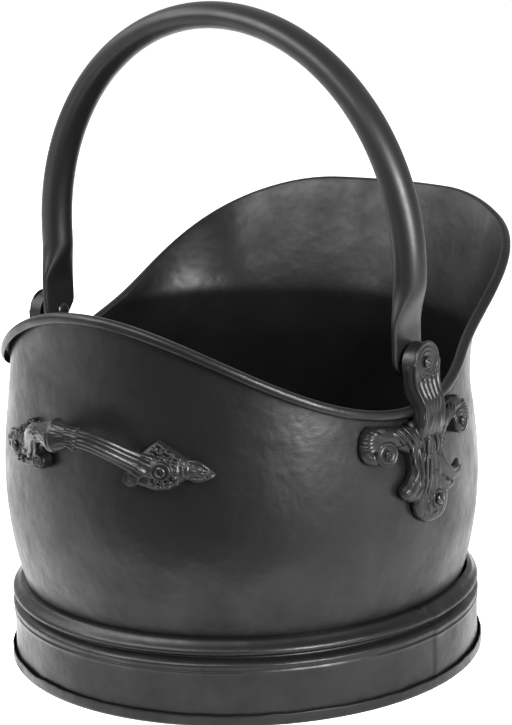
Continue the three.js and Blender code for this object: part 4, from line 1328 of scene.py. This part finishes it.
# %% [markdown]
# The far arm is the near one mirrored and set a little higher. The bosses, the rings and the ear are
# melted in with the strokes.

# %% Bracket drawing
EAR_RADIUS = 14.4
EAR_DROP = 1.8
FOOT_MIDDLE = FOOT_SCREW_HEIGHT / mm
ear_low = (EAR_INSIDE - NECK_RADIUS) / mm
ear_high = (EAR_OUTSIDE - NECK_RADIUS) / mm
pivot_high = PIVOT_HEIGHT / mm
ARM_RISE = FRONT_RISE / mm
ARM_FULL = 22
ARM_TIP = (36, 50)
ARM_TIP_SHARE = 0.2
BOSS_RINGS = (7.2, 5.0)
EAR_RINGS = ((12.9, 1.1), (9.4, 0.8), (6.6, 0.75))


def raised(strokes):
    """Lifts the far arm, less and less towards the stem, and bends its tip down again."""
    return [
        [(along, height + arm_lift(abs(along)), out, radius) for along, height, out, radius in stroke]
        for stroke in strokes
    ]


def arm_lift(along):
    return ARM_RISE * ease(along, 0, ARM_FULL) * mix(1, ARM_TIP_SHARE, ease(along, *ARM_TIP))


def ringed_boss(along, height, radius, high):
    bosses = [flat_disc("boss", along, height, radius, -2, high, 1.2)]
    bosses += [flat_ring("boss_ring", along, height, high, reach, 0.7) for reach in BOSS_RINGS]
    return bosses


def bracket_drawing(name):
    strokes = [*neck_body, *neck_flutes, *neck_borders, *waist_folds]
    strokes += [*stem_body, *stem_curls, *stem_flutes, *petals, *beads, *foot_lobes]
    for arm in (arm_body, arm_flutes, arm_leaf, fan(FAN_ROOT, fan_tips)):
        strokes += [*arm, *raised(spread(arm, -1))]
    pieces = [carve(name, strokes)]
    reach, high = SCROLL_REACH / mm, SCROLL_THICKNESS / mm
    for way, rise in ((1, 0), (-1, ARM_RISE)):
        pieces += ringed_boss(way * reach, SCROLL_HEIGHT / mm + rise, 8.5, high)
    ear_middle = pivot_high - EAR_DROP
    pieces += [flat_disc("ear", 0, ear_middle, EAR_RADIUS, ear_low, ear_high - 0.6, 1.6)]
    for radius, wire in EAR_RINGS:
        pieces.append(flat_ring("ear_ring", 0, pivot_high, ear_high - 0.8, radius, wire))
    pieces.append(flat_disc("foot", -2, FOOT_MIDDLE - 1, 13, -2, 6.4, 2.4))
    pieces.append(flat_disc("foot_boss", -5, FOOT_MIDDLE, 6.4, -2, 8.6, 1))
    pieces.append(flat_ring("foot_crescent", -5, FOOT_MIDDLE, 8.4, 5.4, 0.8))
    drawing = join(name, pieces)
    melt(drawing)
    return drawing


print("ear: from", round(ear_low, 1), "to", round(ear_high, 1), "mm out in the flat drawing")

# %% [markdown]
# Laying it on the wall: below the rim a point keeps its distance from the wall, wherever the wall
# goes. Near the pivot the ear is flat, as it has to be to carry the pin, so there the wall's line is
# kept straight. Between the two the place is mixed. What would stand out past the CAD's box is
# pressed in.

# %% Laying the bracket on the wall
FLAT_FROM = SCROLL_HEIGHT + 12 * mm
FLAT_FULL = SCROLL_HEIGHT + 26 * mm
STRAIGHT_HALF = 14 * mm
STRAIGHT_FADE = 8 * mm
SQUASH_FROM = 170.5 * mm
SQUASH_SHARE = 0.55
SHAVE_WIDTH = 400 * mm
SHAVE_DEPTH = 30 * mm
SEAT_GAP = 0.3 * mm
GUARD_ROWS = 24


def on_bracket(side, drawn):
    along, height, out = drawn.x, drawn.z, -drawn.y
    turn = bracket_turn(side, along)
    on_wall = polar(turn, wall_radius(turn, min(height, SIDE_RIM)) + out, height)
    flat = Vector((side * (NECK_RADIUS + out), PIVOT_SETBACK + along, height))
    straight = ease(height, FLAT_FROM, FLAT_FULL)
    straight *= 1 - ease(abs(along), STRAIGHT_HALF, STRAIGHT_HALF + STRAIGHT_FADE)
    laid = on_wall.lerp(flat, straight)
    beyond = abs(laid.x) - SQUASH_FROM
    if beyond > 0:
        laid.x = side * (SQUASH_FROM + beyond * SQUASH_SHARE)
    return laid


def rim_guard():
    """The rolled rim, grown by the fit gap, to cut the castings clear of it."""
    def place(column, row):
        return rim_point(360 * column - 180, 360 * row, BEAD_RADIUS + SHEET / 2 + FIT_GAP)

    return wrapped_grid("rim_guard", AROUND, GUARD_ROWS, place)


def shaved_flat(piece):
    """Cuts away what lies behind the casting's seat, in the flat drawing."""
    block = added(bpy.ops.mesh.primitive_cube_add, "block", size=1)
    middle = Matrix.Translation((0, SHAVE_DEPTH / 2 - SEAT_GAP, SCROLL_HEIGHT))
    block.data.transform(middle @ Matrix.Diagonal((SHAVE_WIDTH, SHAVE_DEPTH, SHAVE_WIDTH, 1)))
    cut(piece, block)


# %% [markdown]
# Holes come after the laying on, along the same lines as the screws, the rivets and the pin. Each
# head sinks into a round seat.

# %% Brackets
def drill_casting(casting, owner):
    for name, turn, height, seat in fixings:
        if not name.startswith(owner):
            continue
        place = wall_place(turn, height)
        head_radius = HEAD_RADIUS if name.endswith("screw") else RIVET_RADIUS
        clear = seat + CASTING_THICKNESS + OVERRUN
        drill(casting, SCREW_RADIUS + FIT_GAP, -2 * OVERRUN, clear, place)
        drill(casting, head_radius + 2 * FIT_GAP, seat, clear, place)


bracket_plan = bracket_drawing("bracket_plan")
shaved_flat(bracket_plan)
print("bracket drawing:", triangles(bracket_plan), "triangles")
for side, side_name in SIDE_NAMES.items():
    bracket = bracket_plan.copy()
    bracket.data = bracket_plan.data.copy()
    bracket.name = f"carved_bracket_{side_name}"
    bpy.context.scene.collection.objects.link(bracket)
    for vertex in bracket.data.vertices:
        vertex.co = on_bracket(side, vertex.co)
    edit(bracket, face_outwards)
    cut(bracket, rim_guard())
    drill(bracket, PIN_RADIUS + FIT_GAP, strap_inside, EAR_OUTSIDE + OVERRUN, pivot_place(side))
    drill_casting(bracket, f"bracket_{side_name}")
    dress(bracket, "cast_paint", "bucket", f"bracket_{side_name}", sharp_from=CAST_SHARP_FROM)
bpy.data.objects.remove(bracket_plan)

# %% [markdown]
# The tipping handle is one casting too. Each end is a block like a pine cone, screwed to the wall,
# with a small lobe on one side and a collared leaf on the other. Between the blocks a fluted neck
# bows out for the fingers, and a calyx of spiked leaves meets another at a ribbed knuckle. One half
# is drawn, and the other is the same strokes mirrored.

# %% Handle strokes
BLOCK_HEIGHT = HANDLE_HEIGHT / mm
BLOCK_REACH = HANDLE_REACH / mm
COLLAR_STEPS = 8
cone_body = [
    [(66, 172, 3, 6.4), (58, 173, 3.6, 8.4), (49, 172.6, 3.8, 8), (42, 174, 5, 6)],
    [(69, 175.4, 2.6, 4.6), (63.4, 179.4, 2.6, 5), (58.4, 183, 2.4, 4.4), (54.6, 187, 2, 2.6)],
    [(46.6, 178, 3, 4.4), (50.6, 182.4, 2.6, 4), (53.8, 186.6, 2, 2.4)],
    [(66, 167.4, 3, 4.6), (61, 163.8, 3, 4.6), (54, 162, 3, 4.4), (47, 163.4, 3.4, 4),
     (40, 165.4, 4, 3.6)],
]
LEAF_TIP_DROP = 3.4
SCALE_COUNT = 12
SCALE_RINGS = ((7.8, 8.6, 1.5, 0), (11, 7, 1.5, 0.5))
PEAK_SCALES = (
    (49, 180.6), (51.4, 184), (54.4, 187.4), (58, 184.8), (61.6, 182), (65, 179.6), (68.4, 177.4),
)
FOOT_SCALES = ((50, 163), (55, 161), (60, 161.6), (65, 163.6))
leaf_body = [
    [(70, 172, 2, 5), (77, 171.2, 2, 5.2), (82, 170.2, 1.6, 3.6), (86, 168.8, 1.2, 1.4)],
    [(73, 172, 6.2, 0.7), (79, 170.8, 6.6, 0.9), (84, 169.6, 4, 0.7)],
]
leaf_body += [
    [(72.6, 172 + way * 5.2, 4.4, 1.1), (77.6, 171.2 + way * 5.6, 4.8, 1.3),
     (82.4, 170 + way * 3.4, 4.2, 1.1), (86.6, 172 - LEAF_TIP_DROP + way * 0.4, 2, 0.9)]
    for way in (-1, 1)
]
leaf_body += [
    [(mix(73.4, 82, share), mix(172, 170, share), 6.2, 0.5),
     (mix(76.4, 84, share), mix(171.6, 169.6, share) + way * mix(4.4, 1.8, share), 4.8, 0.5)]
    for way in (-1, 1) for share in (0, 0.34, 0.67, 1)
]


def knob(along, height, out, radius):
    return [(along, height, out, radius), (along + radius / 2, height - radius / 4, out, radius * 0.9)]


def cone_scales():
    """Low rounded scales in two rings about the screw, along the peak's slopes and at the foot."""
    scales = []
    for order in range(SCALE_COUNT):
        for reach, out, fat, shift in SCALE_RINGS:
            angle = math.radians(360 / SCALE_COUNT * (order + shift))
            along = BLOCK_REACH + reach * math.cos(angle)
            scales.append(knob(along, BLOCK_HEIGHT + reach * math.sin(angle), out, fat))
    scales += [knob(*place, 5.2, 1.6) for place in PEAK_SCALES]
    scales += [knob(*place, 5.4, 1.5) for place in FOOT_SCALES]
    return scales


def collar(along, radius, wire):
    """A half ring over a bar that lies along the wall."""
    angles = [math.pi * step / COLLAR_STEPS for step in range(COLLAR_STEPS + 1)]
    return [
        (along, 172 + radius * math.cos(angle), radius * math.sin(angle), wire) for angle in angles
    ]


collars = [collar(66.4, 8.2, 1.3), collar(69.2, 7.4, 1.2), collar(71.8, 6.6, 1.1)]
block = [*cone_body, *leaf_body, *cone_scales(), *collars]
print("block and leaf:", len(block), "strokes")

# %% [markdown]
# The neck's flutes and the calyx are laid round one middle line. At a share of the way along it, an
# angle of 90 degrees faces straight out and 0 degrees faces up.

# %% Neck and knuckle strokes
NECK_LINE = [
    Vector((46, 173.8, 6)), Vector((38, 179, 11.4)), Vector((29, 186.2, 19.5)),
    Vector((19, 192.2, 26.8)), Vector((9, 194.4, 30.3)), Vector((0, 194, 31.2)),
]
NECK_STEPS = 10
NECK_FLATNESS = 0.86
KNUCKLE_FLATNESS = 0.8
FRAME_STEP = 0.04
RING_STEPS = 16
FLUTE = [(0.02, 6.4, 1.9), (0.2, 5.2, 2.1), (0.45, 4.5, 2.0), (0.62, 4.2, 1.9), (0.8, 4, 1.9)]
BACK_FLUTE = [(0.6, 4.4, 1.8), (0.3, 4.6, 1.8)]
BELL_LEAF = [
    (0.985, 8.8, 1.5), (0.93, 7.6, 1.5), (0.86, 6.3, 1.35), (0.8, 5.3, 1.2), (0.75, 5.4, 1),
    (0.715, 6.6, 0.7),
]
BELL_VEIN = [(0.97, 9.4, 0.7), (0.9, 8.2, 0.7), (0.83, 6.8, 0.6)]
BELL_THORN = [(0.8, 5.6, 1.5), (0.74, 6.8, 1.1), (0.7, 8.6, 0.7)]
CUP_LEAF = [(0.0, 7.4, 1.8), (0.08, 7.2, 1.5)]


def neck_point(share):
    place = share * (len(NECK_LINE) - 1)
    order = min(int(place), len(NECK_LINE) - 2)
    return NECK_LINE[order].lerp(NECK_LINE[order + 1], place - order)


def neck_frame(share):
    before, after = max(share - FRAME_STEP, 0), min(share + FRAME_STEP, 1)
    way = (neck_point(after) - neck_point(before)).normalized()
    out = Vector((0, 0, 1))
    out = (out - way * out.dot(way)).normalized()
    upright = way.cross(out)
    return neck_point(share), out, upright if upright.y > 0 else -upright


def round_neck(share, angle, reach, flatness):
    middle, out, upright = neck_frame(share)
    turned_by = math.radians(angle)
    upward = upright * reach * math.cos(turned_by)
    return middle + upward + out * (reach * flatness) * math.sin(turned_by)


def neck_strokes(stations, angles):
    """One stroke at each angle; a station is (share of the way, reach from the middle, radius)."""
    return [
        [(*round_neck(share, angle, reach, NECK_FLATNESS), radius) for share, reach, radius in stations]
        for angle in angles
    ]


neck = [[(*neck_point(step / NECK_STEPS), 3.9) for step in range(NECK_STEPS + 1)]]
neck += neck_strokes(FLUTE, (10, 52, 94, 136, 174)) + neck_strokes(BACK_FLUTE, (-150, -90, -30))
bell = neck_strokes(BELL_LEAF, range(-168, 192, 24)) + neck_strokes(BELL_VEIN, range(-156, 204, 24))
bell += neck_strokes(BELL_THORN, (140, 190))
cup = neck_strokes(CUP_LEAF, (20, 60, 100, 140))
ring_angles = [360 * step / RING_STEPS for step in range(RING_STEPS + 1)]
knuckle = [
    [(*round_neck(0.995, angle, 9.4, KNUCKLE_FLATNESS), 1.5) for angle in ring_angles],
    [(*neck_point(1), 6.4), (*neck_point(0.92), 5.6), (*neck_point(0.8), 4)],
]
print("neck and knuckle:", len(neck + bell + cup + knuckle), "strokes")

# %% [markdown]
# The handle is laid on the wall by distance out, just as the brackets are, and then cut and drilled.

# %% Tipping handle
LOBE_REACH = 38
LOBE_HEIGHT = BLOCK_HEIGHT - 7
LOBE_RINGS = ((4.1, 0.8), (1.8, 0.9))
half = [*block, *neck, *bell, *cup, *knuckle]
handle_pieces = [carve("handle_plan", half + spread(half, -1))]
for way in (-1, 1):
    handle_pieces.append(flat_disc("screw_boss", way * BLOCK_REACH, BLOCK_HEIGHT, 6, -2, 12, 1.2))
    handle_pieces.append(flat_disc("lobe", way * LOBE_REACH, LOBE_HEIGHT, 5.6, -2, 8, 1.6))
    for radius, wire in LOBE_RINGS:
        lobe_ring = flat_ring("lobe_ring", way * LOBE_REACH, LOBE_HEIGHT, 8, radius, wire)
        handle_pieces.append(lobe_ring)
handle = join("carved_handle", handle_pieces)
melt(handle)
shaved_flat(handle)
for vertex in handle.data.vertices:
    across, height, out = vertex.co.x, vertex.co.z, -vertex.co.y
    turn = handle_turn(across)
    vertex.co = polar(turn, wall_radius(turn, height) + out, height)
edit(handle, face_outwards)
drill_casting(handle, "handle")
dress(handle, "cast_paint", "bucket", "tipping_handle", sharp_from=CAST_SHARP_FROM)
